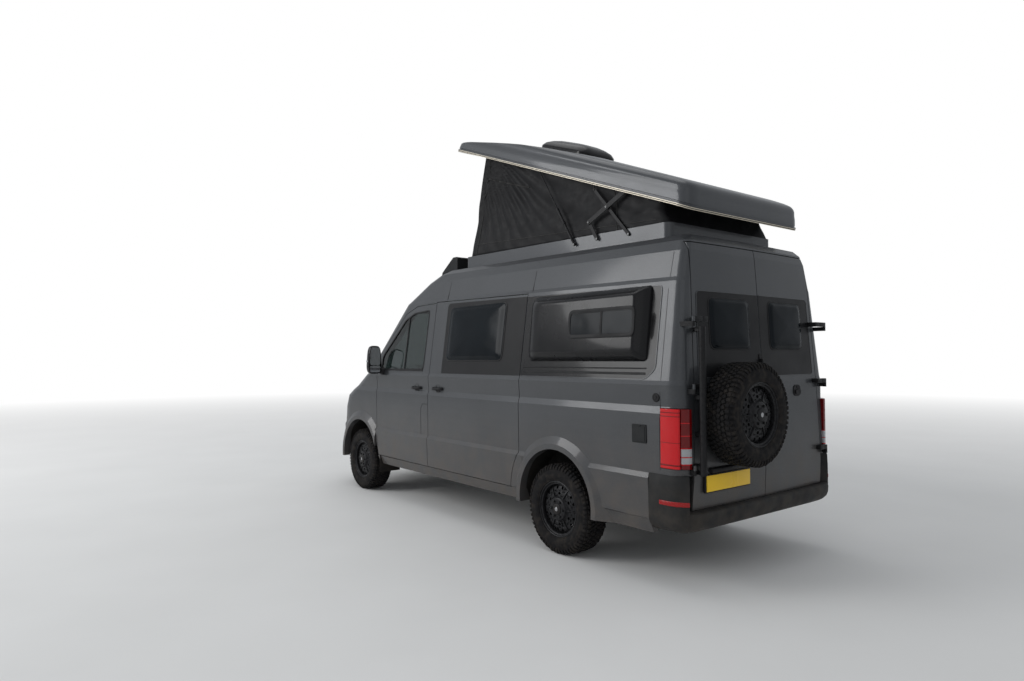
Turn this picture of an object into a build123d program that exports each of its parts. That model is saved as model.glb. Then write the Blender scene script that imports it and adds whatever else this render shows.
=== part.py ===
from build123d import *
import math
import os

# A high-roof camper van on a medium-wheelbase panel van, parked with its lifting roof raised.
# The nose faces -X, the left side faces -Y and the ground is z = 0. Sizes are in millimetres.
# Every x below is measured from the front axle, and the finished van is moved to its middle.

# Overall sizes
WHEELBASE = 3640
FRONT_OVERHANG = 996
REAR_OVERHANG = 1350
SPARE_PROUD = 210
OVERALL_LENGTH = FRONT_OVERHANG + WHEELBASE + REAR_OVERHANG + SPARE_PROUD
FRONT_AXLE_X = FRONT_OVERHANG - OVERALL_LENGTH / 2
TAIL = WHEELBASE + REAR_OVERHANG
HALF_FAR = 1400
HIGH = 4000

# Walls and gaps
WALL = 45
SKIN = 15
SHUT_GAP = 7
FRAME_STEP = 12
SEAT_GAP = 0.3
POST_DEEP = 60
GLASS = 6
GLASS_SET = 6

# Body sections from the sill to the roof, each one a plan outline with round corners.
# Above TILT_FROM the sections fall towards the tail by ROOF_FALL from the pivot.
ROOF_FALL = 0.018
TILT_PIVOT = 2100
TILT_FROM = 2200
TAIL_CROWN = 20
# z, half_width, side_start, nose, nose_sag, nose_half, tail, tail_half, side_end
SECTIONS = [
    (370, 945, -330, -905, 210, 700, 4860, 850, 4770),
    (466, 978, -330, -975, 210, 700, 4925, 870, 4800),
    (480, 992, -330, -985, 210, 700, 4930, 885, 4805),
    (765, 1004, -330, -996, 210, 700, 4945, 890, 4810),
    (800, 986, -330, -994, 210, 700, 4945, 872, 4810),
    (1000, 989, -305, -972, 210, 700, 4942, 874, 4810),
    (1150, 991, -240, -890, 215, 705, 4938, 876, 4808),
    (1225, 992, -100, -755, 235, 715, 4935, 878, 4805),
    (1275, 976, -10, -665, 250, 725, 4933, 866, 4803),
    (1425, 986, 265, -394, 275, 750, 4928, 872, 4798),
    (1455, 972, 320, -340, 280, 755, 4926, 866, 4796),
    (2215, 868, 1050, 620, 150, 640, 4885, 800, 4790),
    (2245, 856, 1100, 670, 148, 632, 4883, 790, 4788),
    (2440, 806, 1446, 1051, 115, 580, 4868, 758, 4785),
    (2515, 776, 1618, 1233, 105, 560, 4852, 730, 4765),
    (2558, 728, 1740, 1365, 95, 520, 4815, 690, 4730),
    (2579, 640, 1850, 1500, 85, 460, 4750, 600, 4660),
]

# Shut lines, seen from the side
SILL_TOP = 466
CAB_DOOR_FRONT = 420
CAB_DOOR_REAR = 1600
SLIDE_DOOR_REAR = 3150
SIDE_TOP = 2215
FLOOR_TOP = 560
FLOOR_DEEP = 50
COWL_Z = 1433
COWL_DEEP = 50
COWL_GAP = 9
COWL_LEDGE = 3

# Wheels and arches
TYRE_RADIUS = 370
TYRE_WIDTH = 245
RIM_RADIUS = 205
HALF_TRACK = 867
ARCH_RADIUS = 440
ARCH_Z = 425
FLARE_RADIUS = 600
FLARE_OUT = 1020
LINER_RADIUS = 456
LINER_SKIN = 6
AXLE_HOLE_RADIUS = 90
KINGPIN_Y = 800
FRONT_LINER_IN = 520
REAR_LINER_IN = 725

# Rear doors
REAR_DOOR_LOW = 560
REAR_DOOR_TOP = 2445
REAR_DOOR_LOW_HALF = 862
REAR_DOOR_TOP_HALF = 770
REAR_HINGE_X = 4958
REAR_HINGE_Y = 884

# Lifting roof: the lid is drawn shut and then swung open about its pivot
LID_PIVOT_X = 5114
LID_PIVOT_Z = 2658
LID_OPEN = 21
LID_BASE_Z = 2600
LID_SKIN = 25
THIN_ARM_Y = 693
LINK_Y = 703
FLAT_BAR_Y = 712
STRUT_Y = 703
PIN_RADIUS = 7
PLINTH_TOP = 2640
PLINTH_RISE = 0.0175
PLINTH_HALF = 685
PLINTH_FRONT = 1880
PLINTH_REAR = 4600
PLINTH_WALL = 60
CANVAS_SKIN = 6
# z above the base, front, rear, half_width, front_radius, rear_radius
LID_SECTIONS = [
    (0, 1560, 4818, 746, 150, 100),
    (12, 1540, 4835, 758, 160, 110),
    (85, 1562, 4806, 754, 170, 110),
    (112, 1700, 4793, 750, 170, 110),
    (165, 2540, 4770, 742, 160, 110),
    (180, 3240, 4746, 726, 150, 105),
    (190, 3560, 4650, 610, 140, 100),
]


def box(x0, x1, y0, y1, z0, z1):
    return Pos((x0 + x1) / 2, (y0 + y1) / 2, (z0 + z1) / 2) * Box(abs(x1 - x0), abs(y1 - y0), abs(z1 - z0))


def side_prism(points, y0, y1, radius=0):
    """An outline of (x, z) points carried across the van from y0 to y1."""
    face = Face(Wire.make_polygon([Vector(x, y0, z) for x, z in points]))
    if radius:
        face = face.fillet_2d(radius, face.vertices())
    return Solid.extrude(face, Vector(0, y1 - y0, 0))


def tail_prism(points, x0, x1, radius=0):
    """An outline of (y, z) points carried along the van from x0 to x1."""
    face = Face(Wire.make_polygon([Vector(x0, y, z) for y, z in points]))
    if radius:
        face = face.fillet_2d(radius, face.vertices())
    return Solid.extrude(face, Vector(x1 - x0, 0, 0))


def plan_prism(points, z0, z1, radius=0):
    """An outline of (x, y) points carried up from z0 to z1."""
    face = Face(Wire.make_polygon([Vector(x, y, z0) for x, y in points]))
    if radius:
        face = face.fillet_2d(radius, face.vertices())
    return Solid.extrude(face, Vector(0, 0, z1 - z0))


def cross_cylinder(x, z, radius, y0, y1):
    """A round bar or bore that lies across the van."""
    middle = Plane(origin=(x, (y0 + y1) / 2, z), z_dir=(0, 1, 0))
    return middle * Cylinder(radius, abs(y1 - y0))


def upright(x, y, z0, z1, radius):
    return Pos(x, y, (z0 + z1) / 2) * Cylinder(radius, z1 - z0)


def bar(start, end, radius):
    """A round bar between two points."""
    a = Vector(*start)
    b = Vector(*end)
    return Plane(origin=(a + b) * 0.5, z_dir=b - a) * Cylinder(radius, (b - a).length)


def swap_side(shape):
    return shape.mirror(Plane.XZ)


def both_sides(shape):
    return Compound(children=list(shape.solids()) + list(swap_side(shape).solids()))


def arc_middle(start_x, start_y, end_x, end_y):
    """Middle of the arc that leaves its start along X."""
    dx = end_x - start_x
    dy = end_y - start_y
    radius = (dx * dx + dy * dy) / (2 * abs(dy))
    half = math.asin(min(1, abs(dx) / radius)) / 2
    return (
        start_x + math.copysign(radius * math.sin(half), dx),
        start_y + math.copysign(radius * (1 - math.cos(half)), dy),
    )


def section_wire(row, inset, lift=0):
    z, half, side_start, nose, sag, nose_half, tail, tail_half, side_end = row
    tilt = -ROOF_FALL if z > TILT_FROM else 0
    half -= inset
    nose_half -= inset * 0.5
    tail_half -= inset * 0.6
    nose += inset
    tail -= inset
    side_start += inset * 0.3
    side_end -= inset * 0.3

    def at(x, y):
        return Vector(x, y, z + lift + tilt * (x - TILT_PIVOT))

    tail_corner = tail - TAIL_CROWN
    nose_corner = nose + sag
    rear_mid = arc_middle(side_end, half, tail_corner, tail_half)
    front_mid = arc_middle(side_start, half, nose_corner, nose_half)
    return Wire([
        Edge.make_line(at(side_start, -half), at(side_end, -half)),
        Edge.make_three_point_arc(
            at(side_end, -half), at(rear_mid[0], -rear_mid[1]), at(tail_corner, -tail_half)
        ),
        Edge.make_three_point_arc(at(tail_corner, -tail_half), at(tail, 0), at(tail_corner, tail_half)),
        Edge.make_three_point_arc(at(tail_corner, tail_half), at(*rear_mid), at(side_end, half)),
        Edge.make_line(at(side_end, half), at(side_start, half)),
        Edge.make_three_point_arc(at(side_start, half), at(*front_mid), at(nose_corner, nose_half)),
        Edge.make_three_point_arc(at(nose_corner, nose_half), at(nose, 0), at(nose_corner, -nose_half)),
        Edge.make_three_point_arc(
            at(nose_corner, -nose_half), at(front_mid[0], -front_mid[1]), at(side_start, -half)
        ),
    ])


def envelope(inset):
    """The body's outer form, or the same form drawn in or out by an inset, with its roof as well."""
    top_rows = 3
    drop = max(inset, 0)
    wires = []
    if inset > 0:
        low = SECTIONS[0]
        wires.append(section_wire((low[0] - WALL, *low[1:]), inset))
    for i, row in enumerate(SECTIONS):
        wires.append(section_wire(row, inset, -drop if i >= len(SECTIONS) - top_rows else 0))
    return Solid.make_loft(wires, ruled=True)


def side_top_z(x):
    """Height of the seam between the sides and the roof."""
    return SIDE_TOP - ROOF_FALL * (x - TILT_PIVOT)


OUTER = envelope(0)
SKIN_INSIDE = envelope(SKIN)
INNER = envelope(WALL)
SHELL = OUTER - INNER
INNER_LAYER = SKIN_INSIDE - INNER


def stepped(outline_skin, outline_frame):
    """A hung panel: a skin with a smaller frame behind it, so that its edge clears as it swings."""
    skin = OUTER - SKIN_INSIDE
    return (skin & outline_skin) + (INNER_LAYER & outline_frame)


def arch_cutter(axle_x, radius=ARCH_RADIUS):
    return cross_cylinder(axle_x, ARCH_Z, radius, -HALF_FAR, HALF_FAR)


# Outlines seen from the side

def cab_door_outline(grow):
    front = CAB_DOOR_FRONT - grow
    rear = CAB_DOOR_REAR - SHUT_GAP / 2 + grow
    low = SILL_TOP + SHUT_GAP - grow
    top = SIDE_TOP - SHUT_GAP + grow
    return [
        (front, low),
        (rear, low),
        (rear, top),
        (1190, top - 12),
        (960, top - 88),
        (front, 1650 + grow),
    ]


CAB_WINDOW = [(505, 1492), (1468, 1498), (1469, 2140), (1150, 2124), (960, 2052), (505, 1640)]


def cab_door_region(side, grow):
    prism = side_prism(cab_door_outline(grow), side * 500, side * HALF_FAR)
    return prism - arch_cutter(0, ARCH_RADIUS + 35 - grow)


def slide_door_region(grow):
    front = CAB_DOOR_REAR + SHUT_GAP / 2 - grow
    rear = SLIDE_DOOR_REAR - SHUT_GAP / 2 + grow
    low = SILL_TOP + SHUT_GAP - grow
    points = [
        (front, low),
        (rear, low),
        (rear, side_top_z(rear) - SHUT_GAP + grow),
        (front, side_top_z(front) - SHUT_GAP + grow),
    ]
    return side_prism(points, -500, -HALF_FAR) - arch_cutter(WHEELBASE, FLARE_RADIUS + SHUT_GAP - grow)


def rear_door_region(side, grow):
    inner_edge = SHUT_GAP / 2 - grow
    low_half = REAR_DOOR_LOW_HALF + grow
    top_half = REAR_DOOR_TOP_HALF + grow
    points = [
        (side * inner_edge, REAR_DOOR_LOW - grow),
        (side * low_half, REAR_DOOR_LOW - grow),
        (side * top_half, REAR_DOOR_TOP + grow),
        (side * inner_edge, REAR_DOOR_TOP + grow),
    ]
    return tail_prism(points, 4600, TAIL + 100)


# Bonnet, wings and nose
BONNET_LOW = 1165
BONNET_FRONT_HALF = 640
BONNET_REAR_HALF = 700


def bonnet_region(grow):
    points = [
        (-1100, -BONNET_FRONT_HALF - grow),
        (20, -BONNET_REAR_HALF - grow),
        (20, BONNET_REAR_HALF + grow),
        (-1100, BONNET_FRONT_HALF + grow),
    ]
    return plan_prism(points, BONNET_LOW - grow, COWL_Z)


def section_at(z):
    """A body section between two rows of the table."""
    for low, high in zip(SECTIONS, SECTIONS[1:]):
        if z <= high[0]:
            share = (z - low[0]) / (high[0] - low[0])
            return [a + share * (b - a) for a, b in zip(low, high)]
    return SECTIONS[-1]


def behind_cowl_edge(grow):
    """Everything behind the upright cut where the bonnet meets the cowl."""
    row = section_at(COWL_Z)
    face = Face(section_wire([COWL_Z - COWL_DEEP, *row[1:]], -grow))
    return Solid.extrude(face, Vector(0, 0, HIGH))


BUMPER_TOP = 860
BUMPER_REAR = -465
LAMP_LOW = 905
GRILLE_HALF = 560
LAMP_HALF = 905

WINDSCREEN = [(-700, 1462), (700, 1462), (585, 2165), (-585, 2165)]


def windscreen_region():
    return tail_prism(WINDSCREEN, -600, 1000, 60)


def nose_front(rear_x, z0, z1):
    return box(-1200, rear_x, -HALF_FAR, HALF_FAR, z0, z1)


def make_bonnet():
    return (SHELL & bonnet_region(0)) - behind_cowl_edge(COWL_GAP)


def make_front_bumper():
    slots = [
        box(-1200, -700, -half, half, z, z + 34)
        for z, half in ((470, 420), (530, 470), (590, 500), (650, 500))
    ]
    piece = SHELL & nose_front(BUMPER_REAR, 370, BUMPER_TOP)
    for side in (-1, 1):
        piece += flare(0, side) & box(BUMPER_REAR - 60, BUMPER_REAR, 0, side * HALF_FAR, 370, BUMPER_TOP)
    piece -= arch_cutter(0)
    return piece - slots


def make_grille():
    region = box(-1200, -600, -GRILLE_HALF, GRILLE_HALF, BUMPER_TOP, BONNET_LOW - SHUT_GAP)
    slots = [
        box(-1200, -600, side * 16, side * (GRILLE_HALF - 20), z, z + 36)
        for z in (890, 950, 1010, 1070)
        for side in (-1, 1)
    ]
    return (SHELL & region) - slots


def lamp_region(side):
    points = [
        (-1100, side * GRILLE_HALF),
        (-460, side * GRILLE_HALF),
        (-460, side * 1050),
        (-1100, side * 1050),
    ]
    slope = side_prism([(-1200, LAMP_LOW), (-640, LAMP_LOW), (-500, 1090), (-560, 1150), (-1200, 1150)],
                       -HALF_FAR, HALF_FAR)
    return plan_prism(points, LAMP_LOW, 1150) & slope


def make_headlamp(side):
    return SHELL & lamp_region(side)


def make_front_wing(side):
    region = box(-1200, CAB_DOOR_FRONT - SHUT_GAP, 0, side * HALF_FAR, 370, COWL_Z)
    piece = SHELL & region
    piece -= bonnet_region(SHUT_GAP)
    piece -= nose_front(BUMPER_REAR, 370, BUMPER_TOP)
    piece -= box(-1200, -600, -GRILLE_HALF, GRILLE_HALF, BUMPER_TOP, BONNET_LOW)
    piece -= lamp_region(side)
    piece += flare(0, side) & box(BUMPER_REAR, CAB_DOOR_FRONT - SHUT_GAP, 0, side * HALF_FAR, 370, 1200)
    piece -= arch_cutter(0)
    return piece - box(-1200, -300, -GRILLE_HALF, GRILLE_HALF, 300, BONNET_LOW + 40)


def flare(axle_x, side):
    """The swollen ring round a wheel arch, pressed out of the side."""
    deep = 80
    base = Plane(origin=(axle_x, side * (FLARE_OUT - deep), ARCH_Z), z_dir=(0, side, 0))
    ring = base * Pos(0, 0, deep / 2) * Cone(FLARE_RADIUS + 40, ARCH_RADIUS + 45, deep)
    below = box(axle_x - 900, axle_x + 900, -HALF_FAR, HALF_FAR, 0, SECTIONS[0][0])
    return ring - below - OUTER


def make_cab_frame():
    """Windscreen surround, pillars, cowl and bulkhead."""
    region = box(-700, CAB_DOOR_REAR, -HALF_FAR, HALF_FAR, COWL_Z, 2600)
    above = side_prism([(-900, side_top_z(-900)), (CAB_DOOR_REAR, side_top_z(CAB_DOOR_REAR)),
                        (CAB_DOOR_REAR, 3000), (-900, 3000)], -HALF_FAR, HALF_FAR)
    piece = (SHELL & region) - above
    piece += SHELL & bonnet_region(0) & behind_cowl_edge(-COWL_LEDGE)
    for side in (-1, 1):
        piece -= cab_door_region(side, SHUT_GAP)
    piece -= windscreen_region()
    bulkhead = box(-80, -50, -1000, 1000, FLOOR_TOP, COWL_Z + 30)
    piece += bulkhead & INNER
    for side in (-1, 1):
        piece -= box(-480, 480, side * FRONT_LINER_IN, side * 1200, 300, ARCH_Z + LINER_RADIUS + LINER_SKIN)
        piece -= cab_door_region(side, SHUT_GAP)
    return piece


def make_windscreen():
    return (envelope(GLASS_SET) - envelope(GLASS_SET + GLASS)) & windscreen_region()


def make_cab_door(side):
    skin = cab_door_region(side, 0)
    frame = cab_door_region(side, -FRAME_STEP)
    window = side_prism(CAB_WINDOW, side * 500, side * HALF_FAR, 40)
    return stepped(skin, frame) - window


def make_cab_glass(side):
    window = side_prism(CAB_WINDOW, side * 500, side * HALF_FAR, 40)
    return (envelope(GLASS_SET) - envelope(GLASS_SET + GLASS)) & window


# Door mirrors
MIRROR_X = 575
MIRROR_DEEP = 95
MIRROR_INNER = 1080
MIRROR_OUTER = 1212
MIRROR_LOW = 1454
MIRROR_HIGH = 1760


def make_mirror(side):
    head = box(MIRROR_X - MIRROR_DEEP, MIRROR_X, side * MIRROR_INNER, side * MIRROR_OUTER,
               MIRROR_LOW, MIRROR_HIGH)
    head = fillet(head.edges().filter_by(Axis.X), 32)
    head = fillet(head.faces().sort_by(Axis.X)[0].edges(), 30)
    arm = box(MIRROR_X - 85, MIRROR_X - 20, side * 930, side * (MIRROR_INNER + 30), 1500, 1550)
    return head + (arm - OUTER)


# Side windows of bonded acrylic, the sleeping pods and their sliding windows
SIDE_WINDOW = (1892, 2865, 1588, 2150)
SIDE_WINDOW_RIM = 40
SIDE_WINDOW_PROUD = 14
POD = (3250, 4600, 1590, 2150)
POD_SLOPE = 75
POD_WALL = 25
POD_FACE_LOW = 1046
POD_FACE_HIGH = 1000
POD_WINDOW = (3845, 4550, 1770, 2000)


def window_prism(bounds, side, inset, radius):
    x0, x1, z0, z1 = bounds
    points = [
        (x0 + inset, z0 + inset),
        (x1 - inset, z0 + inset),
        (x1 - inset, z1 - inset),
        (x0 + inset, z1 - inset),
    ]
    return side_prism(points, side * 500, side * HALF_FAR, radius)


def make_side_window(side):
    rim = window_prism(SIDE_WINDOW, side, 0, 75) & (envelope(-SIDE_WINDOW_PROUD) - OUTER)
    plug = window_prism(SIDE_WINDOW, side, SIDE_WINDOW_RIM, 45) & (OUTER - envelope(WALL / 2))
    return rim + plug


def pod_ring(y_low, y_high, inset, side):
    x0, x1, z0, z1 = POD
    corners = [
        (x0 + inset, y_low, z0 + inset),
        (x1 - inset, y_low, z0 + inset),
        (x1 - inset, y_high, z1 - inset),
        (x0 + inset, y_high, z1 - inset),
    ]
    return Wire.make_polygon([Vector(x, side * y, z) for x, y, z in corners])


def pod_form(side, inset):
    """A flat-faced swelling with sloped edges, from inside the wall out to its face."""
    face_in = POD_SLOPE + inset
    return Solid.make_loft([
        pod_ring(840, 770, inset, side),
        pod_ring(POD_FACE_LOW - 105, POD_FACE_HIGH - 130, inset, side),
        pod_ring(POD_FACE_LOW - inset, POD_FACE_HIGH - inset, face_in, side),
    ], ruled=True)


def make_pod(side):
    hollow = pod_form(side, POD_WALL)
    piece = (pod_form(side, 0) - OUTER) - hollow
    return piece - window_prism(POD_WINDOW, side, 0, 60)


def make_pod_window(side):
    outline = window_prism(POD_WINDOW, side, 0, 60) & box(3000, 5000, side * 920, side * HALF_FAR, 1500, 2400)
    return outline & (pod_form(side, 8) - pod_form(side, 16))


def side_openings(piece, side):
    """Cut the holes that the side window and the pod need."""
    piece -= window_prism(SIDE_WINDOW, side, SIDE_WINDOW_RIM, 45)
    return piece - pod_form(side, POD_WALL)


def make_sliding_door():
    piece = SHELL & slide_door_region(0)
    return piece - window_prism(SIDE_WINDOW, -1, SIDE_WINDOW_RIM, 45)


# Rear bumper and tail lamps
BUMPER_FRONT = 4640
REAR_BUMPER_TOP = 803
STEP_TOP = 546
STEP_LOW = 430
LAMP_FRONT = 4745
LAMP_BOTTOM = 846
LAMP_TOP = 1267
# x, y of the lamp seen from above
LAMP_PLAN = [(LAMP_FRONT, 940), (LAMP_FRONT, 994), (4885, 992), (4936, 925), (4936, 886), (4860, 886)]


def bumper_region():
    return box(BUMPER_FRONT, TAIL + 200, -HALF_FAR, HALF_FAR, 300, REAR_BUMPER_TOP)


def tail_lamp_form(side):
    return plan_prism([(x, side * y) for x, y in LAMP_PLAN], LAMP_BOTTOM, LAMP_TOP)


def make_rear_bumper():
    half = 1002
    corner = 110
    outer = plan_prism([(BUMPER_FRONT, -half), (TAIL, -half), (TAIL, half), (BUMPER_FRONT, half)], 390, 803)
    outer = fillet(outer.edges().filter_by(Axis.Z).sort_by(Axis.X)[2:], corner)
    outer = chamfer(outer.faces().sort_by(Axis.Z)[0].edges().sort_by(Axis.X)[1:], 28)
    outer -= box(BUMPER_FRONT - 50, 4885, -950, 950, 300, 900)
    outer -= box(4800, TAIL + 50, -REAR_DOOR_LOW_HALF - 30, REAR_DOOR_LOW_HALF + 30, STEP_TOP, 900)
    outer -= box(4800, TAIL + 50, -REAR_DOOR_LOW_HALF - 30, REAR_DOOR_LOW_HALF + 30, 300, STEP_LOW)
    outer -= box(4800, 4950, -REAR_DOOR_LOW_HALF - 30, REAR_DOOR_LOW_HALF + 30, 300, STEP_TOP - 46)
    return outer


def rear_door_edge(z):
    """Half-width at which a rear door ends at height z."""
    share = (z - REAR_DOOR_LOW) / (REAR_DOOR_TOP - REAR_DOOR_LOW)
    return REAR_DOOR_LOW_HALF + share * (REAR_DOOR_TOP_HALF - REAR_DOOR_LOW_HALF)


HINGE_TALL = 34
HINGE_RADIUS = 11
HINGE_LEAF = 9


def rear_hinge(side, z, upper):
    """Half of a rear door hinge: the lower half is on the pillar and the upper half on the door."""
    base = z + SEAT_GAP if upper else z - HINGE_TALL
    top = base + HINGE_TALL
    barrel = upright(REAR_HINGE_X, side * REAR_HINGE_Y, base, top, HINGE_RADIUS)
    if not upper:
        leaf = box(REAR_HINGE_X - 200, REAR_HINGE_X, side * REAR_HINGE_Y, side * (REAR_HINGE_Y + HINGE_LEAF),
                   base, top)
        return (barrel + leaf) - OUTER
    edge = rear_door_edge(top) - 4
    foot = box(REAR_HINGE_X - 110, REAR_HINGE_X + 8, side * (edge - 60), side * edge, base, top)
    leaf = box(REAR_HINGE_X - 17, REAR_HINGE_X + 8, side * edge, side * REAR_HINGE_Y, base, top)
    return (barrel + leaf + foot) - OUTER


REAR_HINGE_HEIGHTS = (843, 1400, 1870)


def make_side_panel(side):
    region = box(CAB_DOOR_FRONT, TAIL, 0, side * HALF_FAR, 370, 2600)
    top = side_prism([(0, side_top_z(0)), (5200, side_top_z(5200)), (5200, 3000), (0, 3000)],
                     -HALF_FAR, HALF_FAR)
    piece = (SHELL & region) - top
    piece -= cab_door_region(side, SHUT_GAP)
    piece -= box(0, CAB_DOOR_REAR, 0, side * HALF_FAR, SILL_TOP, 2600)
    if side < 0:
        piece -= slide_door_region(SHUT_GAP)
    piece += (flare(WHEELBASE, side) & box(SLIDE_DOOR_REAR, 4400, 0, side * HALF_FAR, 370, 1200))
    piece -= bumper_region()
    piece -= arch_cutter(WHEELBASE)
    piece -= arch_cutter(0)
    for door_side in (-1, 1):
        piece -= rear_door_region(door_side, SHUT_GAP)
    piece -= tail_lamp_form(side)
    piece = side_openings(piece, side) if side > 0 else piece - pod_form(side, POD_WALL)
    return piece


# Pads on the posts that the sliding door is drawn shut against
PAD_DEEP = 12
PAD_WIDE = 24
PAD_TALL = 60
DOOR_PAD_HEIGHTS = (720, 1500, 2080)


def make_door_posts():
    """Posts inside the shell beside the doors: two at the cab doors and one behind the sliding door."""
    deep = WALL + SHUT_GAP + POST_DEEP
    low = envelope(WALL + SHUT_GAP) - envelope(deep)
    high = INNER - envelope(deep)
    posts = []
    for x, side in ((CAB_DOOR_REAR, -1), (CAB_DOOR_REAR, 1), (SLIDE_DOOR_REAR, -1)):
        below = box(x - 40, x + 40, side * 500, side * HALF_FAR, FLOOR_TOP, SIDE_TOP + 40)
        above = box(x - 40, x + 40, side * 500, side * HALF_FAR, SIDE_TOP + 40, SIDE_TOP + 110)
        posts.append((low & below) + (high & above))
    pads = envelope(WALL + SEAT_GAP) - envelope(WALL + SHUT_GAP + PAD_DEEP)
    for post, x in ((0, CAB_DOOR_REAR + 12), (2, SLIDE_DOOR_REAR - 38)):
        for z in DOOR_PAD_HEIGHTS:
            posts[post] += pads & box(x, x + PAD_WIDE, -500, -HALF_FAR, z, z + PAD_TALL)
    return Compound(children=[solid for post in posts for solid in post.solids()])


def make_roof():
    region = side_prism([(-900, side_top_z(-900)), (5200, side_top_z(5200)), (5200, 3000), (-900, 3000)],
                        -HALF_FAR, HALF_FAR)
    piece = SHELL & region
    for side in (-1, 1):
        piece -= rear_door_region(side, SHUT_GAP)
    hatch = box(PLINTH_FRONT + 270, PLINTH_REAR - 300, -560, 560, 2300, 2700)
    return piece - hatch


def make_rear_door(side):
    skin = rear_door_region(side, 0)
    frame = rear_door_region(side, -FRAME_STEP)
    piece = stepped(skin, frame) - rear_window_prism(side, REAR_WINDOW_RIM, 40)
    for z in REAR_HINGE_HEIGHTS:
        piece += rear_hinge(side, z, True)
    return piece


REAR_WINDOW = (125, 625, 1672, 2058)
REAR_WINDOW_RIM = 30


def rear_window_prism(side, inset, radius):
    y0, y1, z0, z1 = REAR_WINDOW
    points = [
        (side * (y0 + inset), z0 + inset),
        (side * (y1 - inset), z0 + inset),
        (side * (y1 - inset), z1 - inset),
        (side * (y0 + inset), z1 - inset),
    ]
    return tail_prism(points, 4600, TAIL + 100, radius)


def make_rear_window(side):
    rim = rear_window_prism(side, 0, 60) & (envelope(-12) - OUTER)
    plug = rear_window_prism(side, REAR_WINDOW_RIM, 40) & (OUTER - envelope(WALL / 2))
    return rim + plug


# Spare wheel on its carrier, on the left rear door
SPARE_Y = -440
SPARE_Z = 1215
SPARE_FACE = TAIL + SPARE_PROUD
CARRIER_TUBE_Y = -857
CARRIER_TUBE_X = 5010
CARRIER_TUBE_R = 24
CARRIER_LOW = 812
CARRIER_HIGH = 1830
CARRIER_BAR = 15


def make_spare_carrier():
    inner_face = SPARE_FACE - TYRE_WIDTH
    piece = upright(CARRIER_TUBE_X, CARRIER_TUBE_Y, CARRIER_LOW, CARRIER_HIGH, CARRIER_TUBE_R)
    clear_x = REAR_HINGE_X - 17
    for z in (CARRIER_LOW + CARRIER_BAR, SPARE_Z - 130, SPARE_Z + 130, CARRIER_HIGH - CARRIER_BAR):
        low = z - CARRIER_BAR
        high = z + CARRIER_BAR
        edge = rear_door_edge(high) - 5
        piece += box(4860, clear_x, -edge + 40, -edge, low, high)
        piece += box(clear_x, CARRIER_TUBE_X, -edge + 3, CARRIER_TUBE_Y + 10, low, high)
        piece += box(clear_x, inner_face - 3, -edge + 40, -edge, low, high)
    for z in (SPARE_Z - 130, SPARE_Z + 130):
        edge = rear_door_edge(z + CARRIER_BAR) - 5
        piece += box(4860, inner_face - 3, -edge, SPARE_Y + 120, z - CARRIER_BAR, z + CARRIER_BAR)
    rim_back = SPARE_FACE - TYRE_WIDTH / 2 + RIM_DISC - SEAT_GAP
    hub = bar((4800, SPARE_Y, SPARE_Z), (rim_back, SPARE_Y, SPARE_Z), HUB_RADIUS - 5)
    plate = box(4860, inner_face - 3, SPARE_Y - 60, SPARE_Y + 60, SPARE_Z - 150, SPARE_Z + 150)
    piece += plate + hub
    return piece - OUTER


# Wheels

def wheel_plane(x, y, z, outward):
    """Local frame of a wheel whose outer face looks along outward."""
    return Plane(origin=(x, y, z), z_dir=outward)


def revolve_profile(points):
    """Turn an outline of (radius, height) points about the local Z axis."""
    face = Face(Wire.make_polygon([Vector(r, 0, h) for r, h in points]))
    return Solid.revolve(face, 360, Axis.Z)


def make_tyre(place):
    half = TYRE_WIDTH / 2
    bead = RIM_RADIUS + 4
    profile = [
        (bead, -half + 22),
        (bead + 45, -half + 2),
        (bead + 95, -half),
        (TYRE_RADIUS - 30, -half + 12),
        (TYRE_RADIUS, -half + 38),
        (TYRE_RADIUS, half - 38),
        (TYRE_RADIUS - 30, half - 12),
        (bead + 95, half),
        (bead + 45, half - 2),
        (bead, half - 22),
    ]
    return place * revolve_profile(profile)


RIM_DISC = 55
DISC_THICK = 22
HUB_RADIUS = 85


def make_rim(place):
    half = TYRE_WIDTH / 2
    lip = RIM_RADIUS + 4
    profile = [
        (lip, -half + 22),
        (lip, half - 22),
        (lip - 8, half - 16),
        (lip - 22, half - 30),
        (lip - 26, RIM_DISC + DISC_THICK / 2),
        (HUB_RADIUS, RIM_DISC + DISC_THICK + 8),
        (HUB_RADIUS - 15, RIM_DISC + DISC_THICK + 30),
        (0, RIM_DISC + DISC_THICK + 30),
        (0, RIM_DISC),
        (HUB_RADIUS, RIM_DISC),
        (lip - 26, RIM_DISC - 30),
        (lip - 20, -half + 40),
        (lip - 14, -half + 22),
    ]
    rim = revolve_profile(profile)
    ring = 128
    holes = [
        Pos(ring * math.cos(a), ring * math.sin(a), RIM_DISC) * Cylinder(17, 140)
        for a in (math.radians(30 * n) for n in range(12))
    ]
    return place * (rim - holes)


WHEEL_PLACES = [
    ("front_left", 0, -1),
    ("front_right", 0, 1),
    ("rear_left", WHEELBASE, -1),
    ("rear_right", WHEELBASE, 1),
]


# Running gear
SPINDLE_RADIUS = 40


def make_knuckle(side):
    post = upright(0, side * KINGPIN_Y, 285, 470, 28)
    hub_face = HALF_TRACK + RIM_DISC - SEAT_GAP
    spindle = cross_cylinder(0, TYRE_RADIUS, SPINDLE_RADIUS, side * KINGPIN_Y, side * hub_face)
    disc = cross_cylinder(0, TYRE_RADIUS, 150, side * (hub_face - 45), side * (hub_face - 20))
    return post + spindle + disc


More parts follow.
